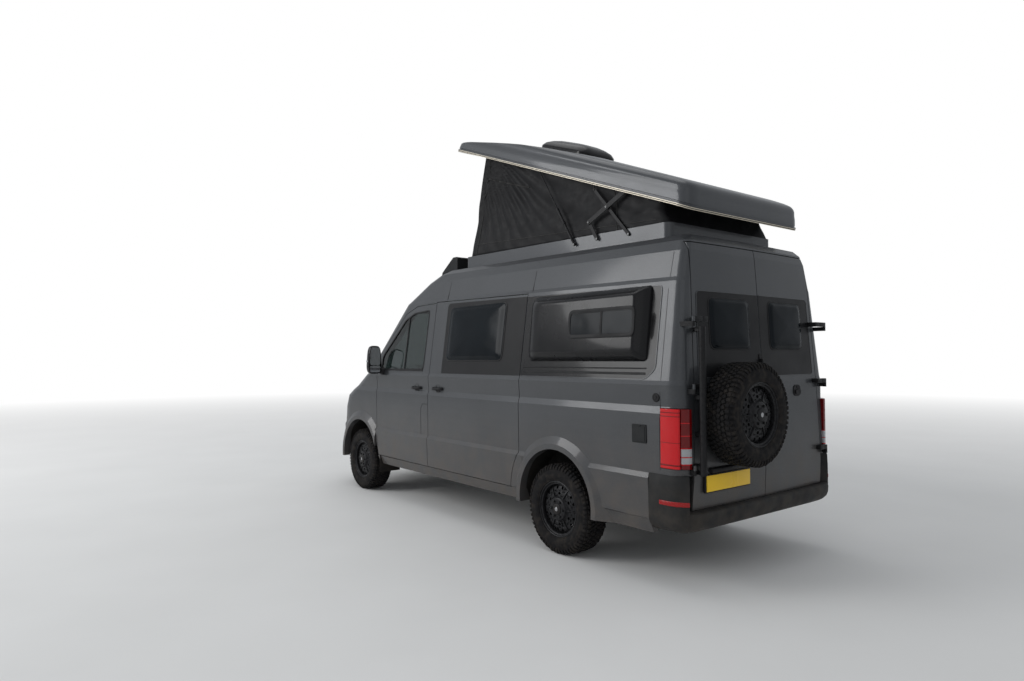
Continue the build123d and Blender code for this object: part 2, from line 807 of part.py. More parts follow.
def make_front_subframe():
    piece = box(-300, 300, -480, 480, 330, 400)
    for side in (-1, 1):
        piece += box(-815, 320, side * 400, side * 480, 400, 470)
        piece += box(-70, 400, side * 400, side * 480, 400, FLOOR_TOP - FLOOR_DEEP)
        arm = plan_prism([(-180, side * 470), (180, side * 470), (32, side * 810), (-32, side * 810)], 250, 272)
        piece += arm
        piece += box(-180, 180, side * 440, side * 480, 250, 400)
        piece += upright(0, side * KINGPIN_Y, 250, 285 - SEAT_GAP, 22)
    return piece - SHELL


def make_rear_axle():
    hub_face = HALF_TRACK + RIM_DISC - SEAT_GAP
    piece = cross_cylinder(WHEELBASE, TYRE_RADIUS, 48, -hub_face, hub_face)
    for side in (-1, 1):
        piece += cross_cylinder(WHEELBASE, TYRE_RADIUS, 150, side * (hub_face - 45), side * (hub_face - 20))
        piece += box(WHEELBASE - 60, WHEELBASE + 60, side * 530, side * 600, 300, 440)
        span = 620
        top_arc = Edge.make_three_point_arc(
            Vector(WHEELBASE - span, side * 530, FLOOR_TOP - FLOOR_DEEP),
            Vector(WHEELBASE, side * 530, 322),
            Vector(WHEELBASE + span, side * 530, FLOOR_TOP - FLOOR_DEEP),
        )
        low_arc = Edge.make_three_point_arc(
            Vector(WHEELBASE + span + 20, side * 530, FLOOR_TOP - FLOOR_DEEP),
            Vector(WHEELBASE, side * 530, 296),
            Vector(WHEELBASE - span - 20, side * 530, FLOOR_TOP - FLOOR_DEEP),
        )
        ends = [
            Edge.make_line(top_arc @ 1, low_arc @ 0),
            Edge.make_line(low_arc @ 1, top_arc @ 0),
        ]
        spring = Face(Wire([top_arc, ends[0], low_arc, ends[1]]))
        piece += Solid.extrude(spring, Vector(0, side * 70, 0))
    return piece


def make_engine():
    return box(-760, -300, -330, 330, 400, 1060) + box(-420, -180, -200, 200, 400, 560)


def make_floor():
    slab = envelope(WALL + SHUT_GAP) & box(-80, 4885, -1000, 1000, FLOOR_TOP - FLOOR_DEEP, FLOOR_TOP)
    rails = INNER & box(450, 4880, -1000, 1000, 400, SILL_TOP - 6)
    rails -= box(0, 5000, -780, 780, 300, 600)
    webs = envelope(WALL + SHUT_GAP) & box(450, 4880, -1000, 1000, SILL_TOP - 6, FLOOR_TOP - FLOOR_DEEP)
    webs -= box(0, 5000, -780, 780, 300, 600)
    piece = slab + rails + webs
    for axle_x, inner in ((0, FRONT_LINER_IN), (WHEELBASE, REAR_LINER_IN)):
        reach = LINER_RADIUS + LINER_SKIN
        for side in (-1, 1):
            piece -= cross_cylinder(axle_x, ARCH_Z, reach, side * inner, side * 1200)
            piece -= box(axle_x - reach, axle_x + reach, side * inner, side * 1200, 300, ARCH_Z)
    return piece


def make_liner(axle_x, inner, side):
    """A tub over a wheel, open below and at the outside."""
    outer = cross_cylinder(axle_x, ARCH_Z, LINER_RADIUS + LINER_SKIN, side * inner, side * 1200)
    hollow = cross_cylinder(axle_x, ARCH_Z, LINER_RADIUS, side * (inner + LINER_SKIN), side * 1300)
    above = box(axle_x - 700, axle_x + 700, side * (inner - 50), side * 1300, ARCH_Z - 40, 1200)
    axle_hole = cross_cylinder(axle_x, TYRE_RADIUS, AXLE_HOLE_RADIUS, side * (inner - 60), side * (inner + 60))
    return (((outer - hollow) & above) & INNER) - axle_hole


# Cab fittings

def make_dashboard():
    body = INNER & box(-50, 330, -1000, 1000, 900, 1370)
    body &= side_prism([(-50, 980), (160, 900), (330, 1120), (300, 1300), (60, 1370), (-50, 1370)],
                       -880, 880)
    wheel_y = 430
    tilt = 28
    place = Plane(origin=(430, wheel_y, 1230), z_dir=(math.cos(math.radians(tilt)), 0,
                                                     math.sin(math.radians(tilt))))
    ring = place * Torus(190, 15)
    spokes = place * Box(30, 370, 16) + place * Cylinder(55, 40)
    column = bar((250, wheel_y, 1135), (430, wheel_y, 1230), 30)
    return body + ring + spokes + column


def make_seat(y):
    half = 250
    seat = box(820, 1330, y - half, y + half, 760, 930)
    seat = fillet(seat.edges(), 40)
    back = side_prism([(1240, 900), (1360, 900), (1500, 1560), (1400, 1560)], y - half, y + half)
    back = fillet(back.edges(), 25)
    head = box(1425, 1515, y - 130, y + 130, 1560, 1780)
    head = fillet(head.edges(), 30)
    posts = box(1450, 1475, y - 60, y + 60, 1540, 1600)
    plinth = box(880, 1280, y - 200, y + 200, FLOOR_TOP, 780)
    return seat + back + head + posts + plinth


# Lifting roof

def swing_open(shape):
    """Swing a piece of the shut lid up about its pivot."""
    return shape.rotate(Axis((LID_PIVOT_X, 0, LID_PIVOT_Z), (0, 1, 0)), LID_OPEN)


def rounded_plan(z, front, rear, half, front_radius, rear_radius):
    """A plan outline at height z with round corners, as eight edges."""
    k = 1 - math.sqrt(0.5)
    fr = front_radius
    rr = rear_radius

    def at(x, y):
        return Vector(x, y, z)

    return Wire([
        Edge.make_line(at(front + fr, -half), at(rear - rr, -half)),
        Edge.make_three_point_arc(at(rear - rr, -half), at(rear - k * rr, -half + k * rr), at(rear, -half + rr)),
        Edge.make_line(at(rear, -half + rr), at(rear, half - rr)),
        Edge.make_three_point_arc(at(rear, half - rr), at(rear - k * rr, half - k * rr), at(rear - rr, half)),
        Edge.make_line(at(rear - rr, half), at(front + fr, half)),
        Edge.make_three_point_arc(at(front + fr, half), at(front + k * fr, half - k * fr), at(front, half - fr)),
        Edge.make_line(at(front, half - fr), at(front, -half + fr)),
        Edge.make_three_point_arc(at(front, -half + fr), at(front + k * fr, -half + k * fr), at(front + fr, -half)),
    ])


def lid_form(inset, drop):
    wires = []
    for z, front, rear, half, front_radius, rear_radius in LID_SECTIONS:
        lift = LID_BASE_Z + z
        if drop and z:
            lift -= drop * z / LID_SECTIONS[-1][0]
        if drop and not z:
            lift -= drop
        wires.append(rounded_plan(lift, front + inset, rear - inset, half - inset,
                                  front_radius - inset / 2, rear_radius - inset / 2))
    return Solid.make_loft(wires, ruled=True)


def make_lid():
    lid = swing_open(lid_form(0, 0) - lid_form(LID_SKIN, LID_SKIN))
    skirt = LID_SECTIONS[1][3]
    for (x, z), inner in ((BAR_HIGH, FLAT_BAR_Y - 4), (STRUT_HIGH, STRUT_Y + EYE_THICK / 2 + SEAT_GAP)):
        for side in (-1, 1):
            lid += cross_cylinder(x, z, PIN_RADIUS, side * inner, side * (skirt - 10))
    return lid


VENT = (2310, 3020, 235)
VENT_TALL = 112
VENT_BASE = 140


def make_vent():
    x0, x1, half = VENT
    top = LID_BASE_Z + LID_SECTIONS[-1][0]
    rows = [(VENT_BASE - LID_SECTIONS[-1][0], 0, 0), (40, 0, 0), (80, 60, 50), (VENT_TALL, 170, 120)]
    wires = [
        rounded_plan(top + z, x0 + end, x1 - end, half - edge, 110, 110)
        for z, end, edge in rows
    ]
    return swing_open(Solid.make_loft(wires, ruled=True) - Pos(0, 0, SEAT_GAP) * lid_form(0, 0))


def plinth_top(x):
    """Height of the plinth's upper edge, which rises with the roof towards the nose."""
    return PLINTH_TOP + PLINTH_RISE * (PLINTH_REAR - x)


def make_plinth():
    outer = plan_prism([(PLINTH_FRONT, -PLINTH_HALF), (PLINTH_REAR, -PLINTH_HALF),
                        (PLINTH_REAR, PLINTH_HALF), (PLINTH_FRONT, PLINTH_HALF)], 2450, HIGH, 60)
    inside = PLINTH_WALL
    hole = plan_prism([(PLINTH_FRONT + inside, -PLINTH_HALF + inside), (PLINTH_REAR - inside, -PLINTH_HALF + inside),
                       (PLINTH_REAR - inside, PLINTH_HALF - inside),
                       (PLINTH_FRONT + inside, PLINTH_HALF - inside)], 2300, HIGH, 30)
    above = side_prism([(PLINTH_FRONT, plinth_top(PLINTH_FRONT)), (PLINTH_REAR, plinth_top(PLINTH_REAR)),
                        (PLINTH_REAR, HIGH), (PLINTH_FRONT, HIGH)], -PLINTH_HALF, PLINTH_HALF)
    piece = outer - hole - OUTER - above
    for (x, z), reach in ((STRUT_LOW, STRUT_Y + 8), (ARM_LOW, THIN_ARM_Y + 6), (LINK_LOW, LINK_Y + 5)):
        for side in (-1, 1):
            piece += cross_cylinder(x, z, PIN_RADIUS, side * (PLINTH_HALF - 10), side * reach)
    return piece


def lid_underside(x, depth):
    """Height of the raised lid's lower edge at x, less a depth measured up into the lid."""
    slope = math.tan(math.radians(LID_OPEN))
    base = LID_BASE_Z - LID_PIVOT_Z + depth
    cos = math.cos(math.radians(LID_OPEN))
    return LID_PIVOT_Z + (LID_PIVOT_X - x) * slope + base / cos


CANVAS_FRONT = 1931
CANVAS_FRONT_TOP = 2205
CANVAS_REAR = 4590
CANVAS_REAR_TOP = 4490


def canvas_form(inset, lift, depth):
    front = CANVAS_FRONT + inset
    front_top = CANVAS_FRONT_TOP + inset
    rear = CANVAS_REAR - inset
    rear_top = CANVAS_REAR_TOP - inset
    half = PLINTH_HALF - 8 - inset
    points = [
        (front, plinth_top(front) + lift),
        (rear, plinth_top(rear) + lift),
        (rear_top, lid_underside(rear_top, depth)),
        (front_top, lid_underside(front_top, depth)),
    ]
    return side_prism(points, -half, half)


def make_canvas():
    depth = LID_SECTIONS[-1][0] - 2 * LID_SKIN - 40
    outer = canvas_form(0, SEAT_GAP, depth)
    hollow = canvas_form(CANVAS_SKIN, -50, depth + 60)
    return outer - hollow


# The deflector ends just ahead of the shut lid's nose
DEFLECTOR_REAR = 1528
DEFLECTOR_TOP = 2750
DEFLECTOR_HALF = 560


def make_deflector():
    points = [(1180, 2480), (DEFLECTOR_REAR, 2480), (DEFLECTOR_REAR, DEFLECTOR_TOP - 12),
              (DEFLECTOR_REAR - 20, DEFLECTOR_TOP), (1440, DEFLECTOR_TOP), (1215, 2600)]
    wedge = side_prism(points, -DEFLECTOR_HALF, DEFLECTOR_HALF)
    return wedge - OUTER


# Arms beside the canvas, as (x, z) in the raised position
STRUT_LOW = (3579, 2600)
STRUT_HIGH = (3085, 3394)
ARM_LOW = (4197, 2600)
ARM_HIGH = (3822, 3028)
BAR_HIGH = (4208, 2963)
BAR_LOW = (3766, 2760)
LINK_LOW = (3851, 2610)
CYLINDER_LONG = 410
EYE_THICK = 12
LINK_THICK = 6
BOSS_RADIUS = 10


def flat_link(start, end, wide, y_mid, thick, bore):
    """A flat link with round ends, standing in the side plane."""
    x0, z0 = start
    x1, z1 = end
    long = math.hypot(x1 - x0, z1 - z0)
    angle = math.degrees(math.atan2(z1 - z0, x1 - x0))
    piece = cross_cylinder(0, 0, wide / 2, -thick / 2, thick / 2)
    piece += cross_cylinder(long, 0, wide / 2, -thick / 2, thick / 2)
    piece += box(0, long, -thick / 2, thick / 2, -wide / 2, wide / 2)
    if bore:
        piece -= cross_cylinder(0, 0, bore, -thick, thick)
    return Pos(x0, y_mid, z0) * Rot(0, -angle, 0) * piece


def make_thin_arms():
    return both_sides(flat_link(ARM_LOW, ARM_HIGH, 26, -THIN_ARM_Y, 8, PIN_RADIUS + SEAT_GAP))


def make_links():
    link = flat_link(LINK_LOW, BAR_LOW, 30, -LINK_Y, LINK_THICK, PIN_RADIUS + SEAT_GAP)
    face = FLAT_BAR_Y - LINK_THICK / 2 - SEAT_GAP
    return both_sides(link + cross_cylinder(*BAR_LOW, BOSS_RADIUS, -LINK_Y, -face))


def make_flat_bars():
    return both_sides(flat_link(BAR_HIGH, BAR_LOW, 40, -FLAT_BAR_Y, 6, PIN_RADIUS + SEAT_GAP))


def strut_plane(reach):
    """Local frame on the strut's line, at a reach from its lower pin."""
    x0, z0 = STRUT_LOW
    x1, z1 = STRUT_HIGH
    long = math.hypot(x1 - x0, z1 - z0)
    ux = (x1 - x0) / long
    uz = (z1 - z0) / long
    return Plane(origin=(x0 + ux * reach, -STRUT_Y, z0 + uz * reach), x_dir=(0, 1, 0), z_dir=(ux, 0, uz))


def make_strut_cylinders():
    long = CYLINDER_LONG
    piece = strut_plane(long / 2 + 8) * Cylinder(11, long - 16)
    piece += strut_plane(0) * (Plane.YZ * Cylinder(14, 12))
    piece += strut_plane(12) * Cylinder(5, 24)
    piece -= strut_plane(long / 2 + 25) * Cylinder(5 + SEAT_GAP, long)
    piece -= strut_plane(0) * (Plane.YZ * Cylinder(PIN_RADIUS + SEAT_GAP, 30))
    return both_sides(piece)


def make_strut_rods():
    x0, z0 = STRUT_LOW
    x1, z1 = STRUT_HIGH
    long = math.hypot(x1 - x0, z1 - z0)
    inside = 60
    start = CYLINDER_LONG - inside
    piece = strut_plane((start + long) / 2) * Cylinder(5, long - start)
    piece += strut_plane(long) * (Plane.YZ * Cylinder(12, EYE_THICK))
    return both_sides(piece)


def make_parts():
    parts = {
        "floor_pan": make_floor(),
        "wheel_liners": Compound(children=[
            solid
            for axle_x, inner in ((0, FRONT_LINER_IN), (WHEELBASE, REAR_LINER_IN))
            for side in (-1, 1)
            for solid in make_liner(axle_x, inner, side).solids()
        ]),
        "side_panel_left": make_side_panel(-1),
        "side_panel_right": make_side_panel(1),
        "roof_shell": make_roof(),
        "cab_frame": make_cab_frame(),
        "door_posts": make_door_posts(),
        "front_wings": both_sides(make_front_wing(-1)),
        "front_bumper": make_front_bumper(),
        "grille": make_grille(),
        "headlamps": both_sides(make_headlamp(-1)),
        "windscreen": make_windscreen(),
        "sliding_door": make_sliding_door(),
        "side_windows": both_sides(make_side_window(-1)),
        "side_pods": both_sides(make_pod(-1)),
        "pod_windows": both_sides(make_pod_window(-1)),
        "tail_lamps": both_sides(tail_lamp_form(-1)),
        "rear_bumper": make_rear_bumper(),
        "roof_plinth": make_plinth(),
        "wind_deflector": make_deflector(),
        "canvas": make_canvas(),
        "engine_block": make_engine(),
        "dashboard": make_dashboard(),
        "cab_seats": Compound(children=[make_seat(-430), make_seat(430)]),
        "rear_axle": make_rear_axle(),
        "front_subframe": make_front_subframe(),
        "bonnet": make_bonnet(),
        "rear_hinge_brackets": both_sides(Compound(children=[
            rear_hinge(-1, z, False) for z in REAR_HINGE_HEIGHTS
        ])),
        "spare_carrier": make_spare_carrier(),
        "poptop_lid": make_lid(),
        "roof_vent": make_vent(),
        "thin_arms": make_thin_arms(),
        "flat_bars": make_flat_bars(),
        "lower_links": make_links(),
        "strut_cylinders": make_strut_cylinders(),
        "strut_rods": make_strut_rods(),
    }
    for name, side in (("left", -1), ("right", 1)):
        parts["cab_door_" + name] = make_cab_door(side)
        parts["cab_glass_" + name] = make_cab_glass(side)
        parts["mirror_" + name] = make_mirror(side)
        parts["rear_door_" + name] = make_rear_door(side)
        parts["rear_window_" + name] = make_rear_window(side)
        parts["knuckle_" + name] = make_knuckle(side)
    for name, axle_x, side in WHEEL_PLACES:
        place = wheel_plane(axle_x, side * HALF_TRACK, TYRE_RADIUS, (0, side, 0))
        parts["tyre_" + name] = make_tyre(place)
        parts["rim_" + name] = make_rim(place)
    spare = wheel_plane(SPARE_FACE - TYRE_WIDTH / 2, SPARE_Y, SPARE_Z, (1, 0, 0))
    parts["spare_tyre"] = make_tyre(spare)
    parts["spare_rim"] = make_rim(spare)
    return parts


os.makedirs("parts", exist_ok=True)
for name, shape in make_parts().items():
    solids = shape.solids()
    whole = solids[0] if len(solids) == 1 else Compound(children=solids)
    export_step(Pos(FRONT_AXLE_X, 0, 0) * whole, "parts/" + name + ".step")
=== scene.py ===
from functools import cache
from math import atan2, copysign, cos, exp, pi, radians, sin, tan, tau
import bmesh
import bpy
from mathutils import Matrix, Vector
from mathutils.bvhtree import BVHTree


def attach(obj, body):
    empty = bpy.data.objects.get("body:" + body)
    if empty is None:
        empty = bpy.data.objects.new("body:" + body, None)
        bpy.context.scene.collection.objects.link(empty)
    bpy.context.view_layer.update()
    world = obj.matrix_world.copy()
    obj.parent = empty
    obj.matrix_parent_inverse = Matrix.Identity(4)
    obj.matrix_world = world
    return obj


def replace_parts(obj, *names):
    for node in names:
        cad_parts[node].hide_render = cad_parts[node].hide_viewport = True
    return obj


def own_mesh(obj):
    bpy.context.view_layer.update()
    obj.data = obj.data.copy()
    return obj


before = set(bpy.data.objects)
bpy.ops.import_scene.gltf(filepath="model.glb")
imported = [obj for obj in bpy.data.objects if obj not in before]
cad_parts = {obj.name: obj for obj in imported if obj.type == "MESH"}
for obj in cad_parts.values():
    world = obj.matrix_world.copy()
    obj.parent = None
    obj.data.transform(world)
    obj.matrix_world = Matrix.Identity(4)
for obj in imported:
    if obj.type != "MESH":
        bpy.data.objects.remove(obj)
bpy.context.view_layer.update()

# A high-roof camper van with its lifting roof raised. The nose faces -X, the left side faces -Y.
# Lengths are in millimetres. P() turns a place from the front axle and the ground into metres.
MM = 0.001
FRONT_AXLE_X = -2102
SIDES = (("left", -1), ("right", 1))


def P(x, y, z):
    return Vector(((x + FRONT_AXLE_X) * MM, y * MM, z * MM))


# Body surfaces
ROOF_FALL = 0.018
TILT_PIVOT = 2100
TILT_FROM = 2200
TAIL_X = 4880
TAIL_CROWN = 20
ROOF_CREASE = 2215
# columns of the body's rows: z, half width, tail, half width of the tail
HALF_WIDTH, TAIL, TAIL_HALF = 1, 2, 3
SKIN_ROWS = [
    (370, 945, 4860, 850), (466, 978, 4925, 870), (480, 992, 4930, 885), (765, 1004, 4945, 890),
    (800, 986, 4945, 872), (1000, 989, 4942, 874), (1150, 991, 4938, 876), (1225, 992, 4935, 878),
    (1275, 976, 4933, 866), (1425, 986, 4928, 872), (1455, 972, 4926, 866), (ROOF_CREASE, 868, 4885, 800),
    (2245, 856, 4883, 790), (2440, 806, 4868, 758), (2515, 776, 4852, 730), (2558, 728, 4815, 690),
]


def follow(rows, value):
    """Straight lines through rows of (place, value), held at both ends."""
    value = max(value, rows[0][0])
    for (u, a), (v, b) in zip(rows, rows[1:]):
        if value <= v:
            return a + (b - a) * (value - u) / (v - u)
    return rows[-1][1]


def between(x, z, column):
    """Value of a column of the body's rows at height z."""
    fall = ROOF_FALL * (x - TILT_PIVOT)
    return follow([(row[0] - (fall if row[0] > TILT_FROM else 0), row[column]) for row in SKIN_ROWS], z)


def side_wall(sign):
    """One side of the body as a surface of x and z."""
    return lambda x, z, out: P(x, sign * (between(x, z, HALF_WIDTH) + out), z)


def tail_face(y, z, out):
    crown = TAIL_CROWN * (y / between(TAIL_X, z, TAIL_HALF)) ** 2
    return P(between(TAIL_X, z, TAIL) - crown + out, y, z)


def roof_side_z(x):
    """Height of the crease between the sides and the roof."""
    return ROOF_CREASE - ROOF_FALL * (x - TILT_PIVOT)


# Finishes; colours are in thousandths
DUST = (210, 165, 125)
TYRE_DUST = (160, 130, 100)
FLAKE = (200, 210, 220)


class Recipe:
    """Nodes of one finish, on Object coordinates."""

    def __init__(self, name):
        self.material = bpy.data.materials.new(name)
        self.material.use_nodes = True
        self.tree = self.material.node_tree
        self.shader = self.tree.nodes["Principled BSDF"]
        self.place = self.add("TexCoord", {}, "Object")

    def feed(self, target, value):
        if hasattr(value, "is_output"):
            self.tree.links.new(value, target)
        elif target.type == "RGBA":
            target.default_value = (*(c / 1000 for c in value), 1.0)
        else:
            target.default_value = value

    def add(self, kind, inputs, output=0, **settings):
        node = self.tree.nodes.new("ShaderNode" + kind)
        for key, value in settings.items():
            setattr(node, key, value)
        for key, value in inputs.items():
            self.feed(node.inputs[key], value)
        return node.outputs[output]

    def noise(self, scale, detail=3.0, place=None):
        return self.add("TexNoise", {"Vector": place or self.place, "Scale": scale, "Detail": detail})

    def cells(self, scale):
        return self.add("TexVoronoi", {"Vector": self.place, "Scale": scale})

    def wave(self, scale, direction, distortion=0.0):
        inputs = {"Vector": self.place, "Scale": scale, "Distortion": distortion}
        return self.add("TexWave", inputs, "Fac", bands_direction=direction)

    def math(self, operation, a, b):
        return self.add("Math", {0: a, 1: b}, operation=operation)

    def span(self, value, low, high, start=0.3, end=0.7):
        limits = dict(zip(("From Min", "From Max", "To Min", "To Max"), (start, end, low, high)))
        return self.add("MapRange", {"Value": value, **limits})

    def mix(self, factor, a, b):
        return self.add("Mix", {0: factor, 6: a, 7: b}, 2, data_type="RGBA")

    def shade(self, scale, detail, dark, light):
        """Slow changes between two colours."""
        return self.mix(self.span(self.noise(scale, detail), 0, 1), dark, light)

    def dust(self, top, bottom, film):
        """A film that fades out with height, in metres."""
        height = self.add("SeparateXYZ", {0: self.place}, "Z")
        return self.math("MULTIPLY", self.span(height, 1.0, 0.0, bottom, top), film)

    def finish(self, colour, rough, specular=0.5, bump=None, **values):
        """Feed the shader; a bump is its height, strength and distance."""
        values |= {"Base Color": colour, "Roughness": rough, "Specular IOR Level": specular}
        if bump:
            values["Normal"] = self.add("Bump", dict(zip(("Height", "Strength", "Distance"), bump)))
        for key, value in values.items():
            self.feed(self.shader.inputs[key.replace("_", " ")], value)
        return self.material


def car_paint(name, dark, light, dust=0.35):
    """Metallic paint: fine flake, slow shade changes, a clear coat and road dust low down."""
    r = Recipe(name)
    flake = r.mix(r.span(r.cells(900), 0.0, 0.35, 0.2, 0.9), r.shade(1.7, 2, dark, light), FLAKE)
    film = r.dust(1.15, 0.3, r.span(r.noise(7, 6), 0.1, dust, 0.35, 0.7))
    rough = r.math("ADD", r.span(r.noise(3), 0.36, 0.44), film)
    bump = (r.noise(450, 2), 0.02, 0.0004)
    return r.finish(r.mix(film, flake, DUST), rough, 0.22, bump,
                    Metallic=0.35, Coat_Weight=0.42, Coat_Roughness=0.09)


def moulded_plastic(name, dark, light, roughness=0.6, grain=520, depth=0.0005, dust=0.25):
    """Grained black or grey plastic, a little faded, with dust low down."""
    r = Recipe(name)
    film = r.dust(0.9, 0.25, r.span(r.noise(9, 6), 0.0, dust))
    rough = r.span(r.noise(11), roughness - 0.08, roughness + 0.08)
    return r.finish(r.mix(film, r.shade(6, 5, dark, light), DUST), rough, 0.16, (r.cells(grain), 0.35, depth))


def gloss_panel(name, dark, light, roughness, coat):
    """Smooth moulded panel with faint waves."""
    r = Recipe(name)
    rough = r.span(r.noise(4), roughness * 0.8, roughness * 1.2)
    bump = (r.noise(14, 1), 0.05, 0.002)
    return r.finish(r.shade(2.3, 4, dark, light), rough, 0.15, bump, Coat_Weight=coat, Coat_Roughness=0.07)


def satin_metal(name, dark, light, roughness, metal):
    """Coated or bare metal with fine scratches."""
    r = Recipe(name)
    upright = r.add("Mapping", {"Vector": r.place, "Scale": (1.0, 1.0, 14.0)})
    rough = r.span(r.noise(60, 3, upright), roughness - 0.07, roughness + 0.1)
    return r.finish(r.shade(40, 5, dark, light), rough, 0.2, (r.noise(700, 2), 0.08, 0.0003), Metallic=metal)


def lamp_lens(name, dark, light, transmission, ribs=95):
    """Coloured lens with fine inner ribs."""
    r = Recipe(name)
    rib = r.wave(ribs, "Z")
    colour = r.mix(r.span(rib, 0.0, 1.0, 0.0, 1.0), dark, light)
    return r.finish(colour, r.span(r.noise(8), 0.05, 0.12), 0.2, (rib, 0.12, 0.0008),
                    Coat_Weight=0.35, Coat_Roughness=0.04, Transmission_Weight=transmission)


def woven(name, scale, bends, patch, shades, ridge, width, rough, bump, sheen):
    """Woven cloth, slightly greyer on its ridges."""
    r = Recipe(name)
    weave = r.math("MULTIPLY", *[r.wave(scale, axis, bend) for axis, bend in bends])
    colour = r.mix(r.span(weave, 0.0, width, 0.0, 1.0), r.shade(*patch, *shades), ridge)
    return r.finish(colour, r.span(r.noise(rough[0]), *rough[1:]), 0.1, (weave, *bump), Sheen_Weight=sheen)


def tyre_rubber():
    r = Recipe("tyre_rubber")
    film = r.span(r.noise(23, 7), 0.0, 0.16, 0.45, 0.8)
    colour = r.mix(film, r.shade(9, 5, (9, 9, 10), (17, 16, 16)), TYRE_DUST)
    return r.finish(colour, r.span(r.noise(30), 0.72, 0.9), 0.10, (r.noise(350, 4), 0.25, 0.0006))


def smoked_acrylic():
    """Dark, slightly wavy double acrylic."""
    r = Recipe("smoked_acrylic")
    colour = r.shade(2.2, 3, (6, 8, 10), (9, 12, 15))
    bump = (r.noise(3.2, 1), 0.35, 0.03)
    return r.finish(colour, r.span(r.noise(6), 0.12, 0.2), 0.06, bump, Coat_Weight=0.06, Coat_Roughness=0.16)


def clear_glass():
    r = Recipe("cab_glass")
    colour = r.shade(1.5, 3, (200, 240, 230), (186, 223.2, 213.9))
    return r.finish(colour, r.span(r.noise(5, 4), 0.01, 0.03), Transmission_Weight=1.0, IOR=1.45)


PAINT = car_paint("graphite_paint", (21, 22.5, 26), (28, 30, 34))
LID_PAINT = car_paint("lid_paint", (26, 28, 32), (34, 36, 41), 0.05)
FILM = gloss_panel("dark_panel_film", (8, 8, 9), (11, 11, 12), 0.42, 0.10)
GLOSS = gloss_panel("black_pod_gloss", (5, 5, 6), (8, 8, 9), 0.26, 0.22)
LAMP_DARK = gloss_panel("lamp_housing", (12, 13, 15), (20, 21, 24), 0.12, 0.8)
PLATE = gloss_panel("plate_yellow", (800, 500, 20), (860, 560, 30), 0.3, 0.3)
PLATE_WHITE = gloss_panel("plate_white", (600, 600, 590), (660, 660, 650), 0.3, 0.3)
PLASTIC = moulded_plastic("bumper_plastic", (14, 15, 16), (23, 24, 25))
TRIM = moulded_plastic("black_trim", (10, 10, 11), (20, 20, 21), 0.5, 700, 0.0003, 0.1)
CHASSIS = moulded_plastic("underbody_coat", (8, 8, 8), (16, 15, 14), 0.8, 300, 0.0012, 0.12)
PIPING = moulded_plastic("canvas_piping", (30, 29, 28), (44, 43, 42), 0.6, 900, 0.0002, 0.0)
RIM = satin_metal("rim_black", (10, 10, 11), (26, 26, 28), 0.38, 0.35)
# near-black powder coat, darkened further as painted shade for the open shadow between the D-pillar and the
# rear door
RACK = satin_metal("powder_coat_and_painted_shade", (9, 9, 10), (18, 18, 19), 0.45, 0.2)
STEEL = satin_metal("bare_steel", (300, 300, 310), (460, 460, 470), 0.32, 1.0)
CAST = satin_metal("cast_iron", (60, 55, 50), (120, 100, 85), 0.6, 0.7)
EDGE = satin_metal("lid_edge_trim", (560, 500, 400), (700, 640, 530), 0.35, 0.25)
RIVET = satin_metal("dull_zinc", (100, 100, 100), (180, 180, 180), 0.45, 0.6)
BOWL = satin_metal("lamp_bowl", (500, 510, 530), (660, 670, 690), 0.16, 1.0)
MIRROR = satin_metal("mirror_glass", (750, 770, 790), (800, 820, 840), 0.08, 1.0)
LAMP_RED = lamp_lens("lamp_red", (500, 3, 6), (660, 6, 12), 0.1)
LAMP_DEEP = lamp_lens("lamp_deep_red", (100, 1, 2), (200, 3, 4), 0.1, 140)
LAMP_CLEAR = lamp_lens("lamp_clear", (460, 470, 490), (660, 680, 700), 0.4, 140)
REFLECTOR = lamp_lens("reflector_red", (260, 3, 4), (400, 8, 8), 0.1, 260)
CLOTH = woven("tent_canvas", 420, (("Z", 0.0), ("X", 0.4)), (5, 6), ((6, 6, 7), (12, 12, 13)), (18, 18, 19),
              0.4, (20, 0.42, 0.56), (0.2, 0.0003), 0.02)
SEAT = woven("seat_cloth", 260, (("X", 0.6), ("Z", 0.6)), (8, 4), ((22, 23, 26), (45, 46, 50)), (75, 77, 80),
             0.6, (15, 0.8, 0.95), (0.4, 0.0008), 0.15)
RUBBER = tyre_rubber()
ACRYLIC = smoked_acrylic()
GLASS = clear_glass()
# the slot that each group of finishes belongs to
SLOTS = {
    "body_paint": (PAINT, LID_PAINT, PLATE, PLATE_WHITE), "black_plastic": (FILM, PLASTIC, TRIM),
    "black_gloss": (GLOSS,), "chassis": (CHASSIS,), "canvas": (PIPING, CLOTH), "seat_cloth": (SEAT,),
    "tyre": (RUBBER,), "rim_black": (RIM,), "steel": (RACK, STEEL, EDGE, RIVET, BOWL), "glass": (MIRROR,),
    "acrylic": (ACRYLIC,), "lamp_red": (LAMP_RED, LAMP_DEEP, REFLECTOR), "lamp_clear": (LAMP_CLEAR,),
}


# Making pieces
MERGE_WITHIN = 2e-5
EDGE_ANGLE = radians(40)
CORNER_SHARE = 0.48


def put(name, data):
    obj = bpy.data.objects.new(name, data)
    bpy.context.scene.collection.objects.link(obj)
    return obj


def circle(steps):
    """Pairs of cosine and sine round a circle."""
    return [(cos(tau * k / steps), sin(tau * k / steps)) for k in range(steps)]


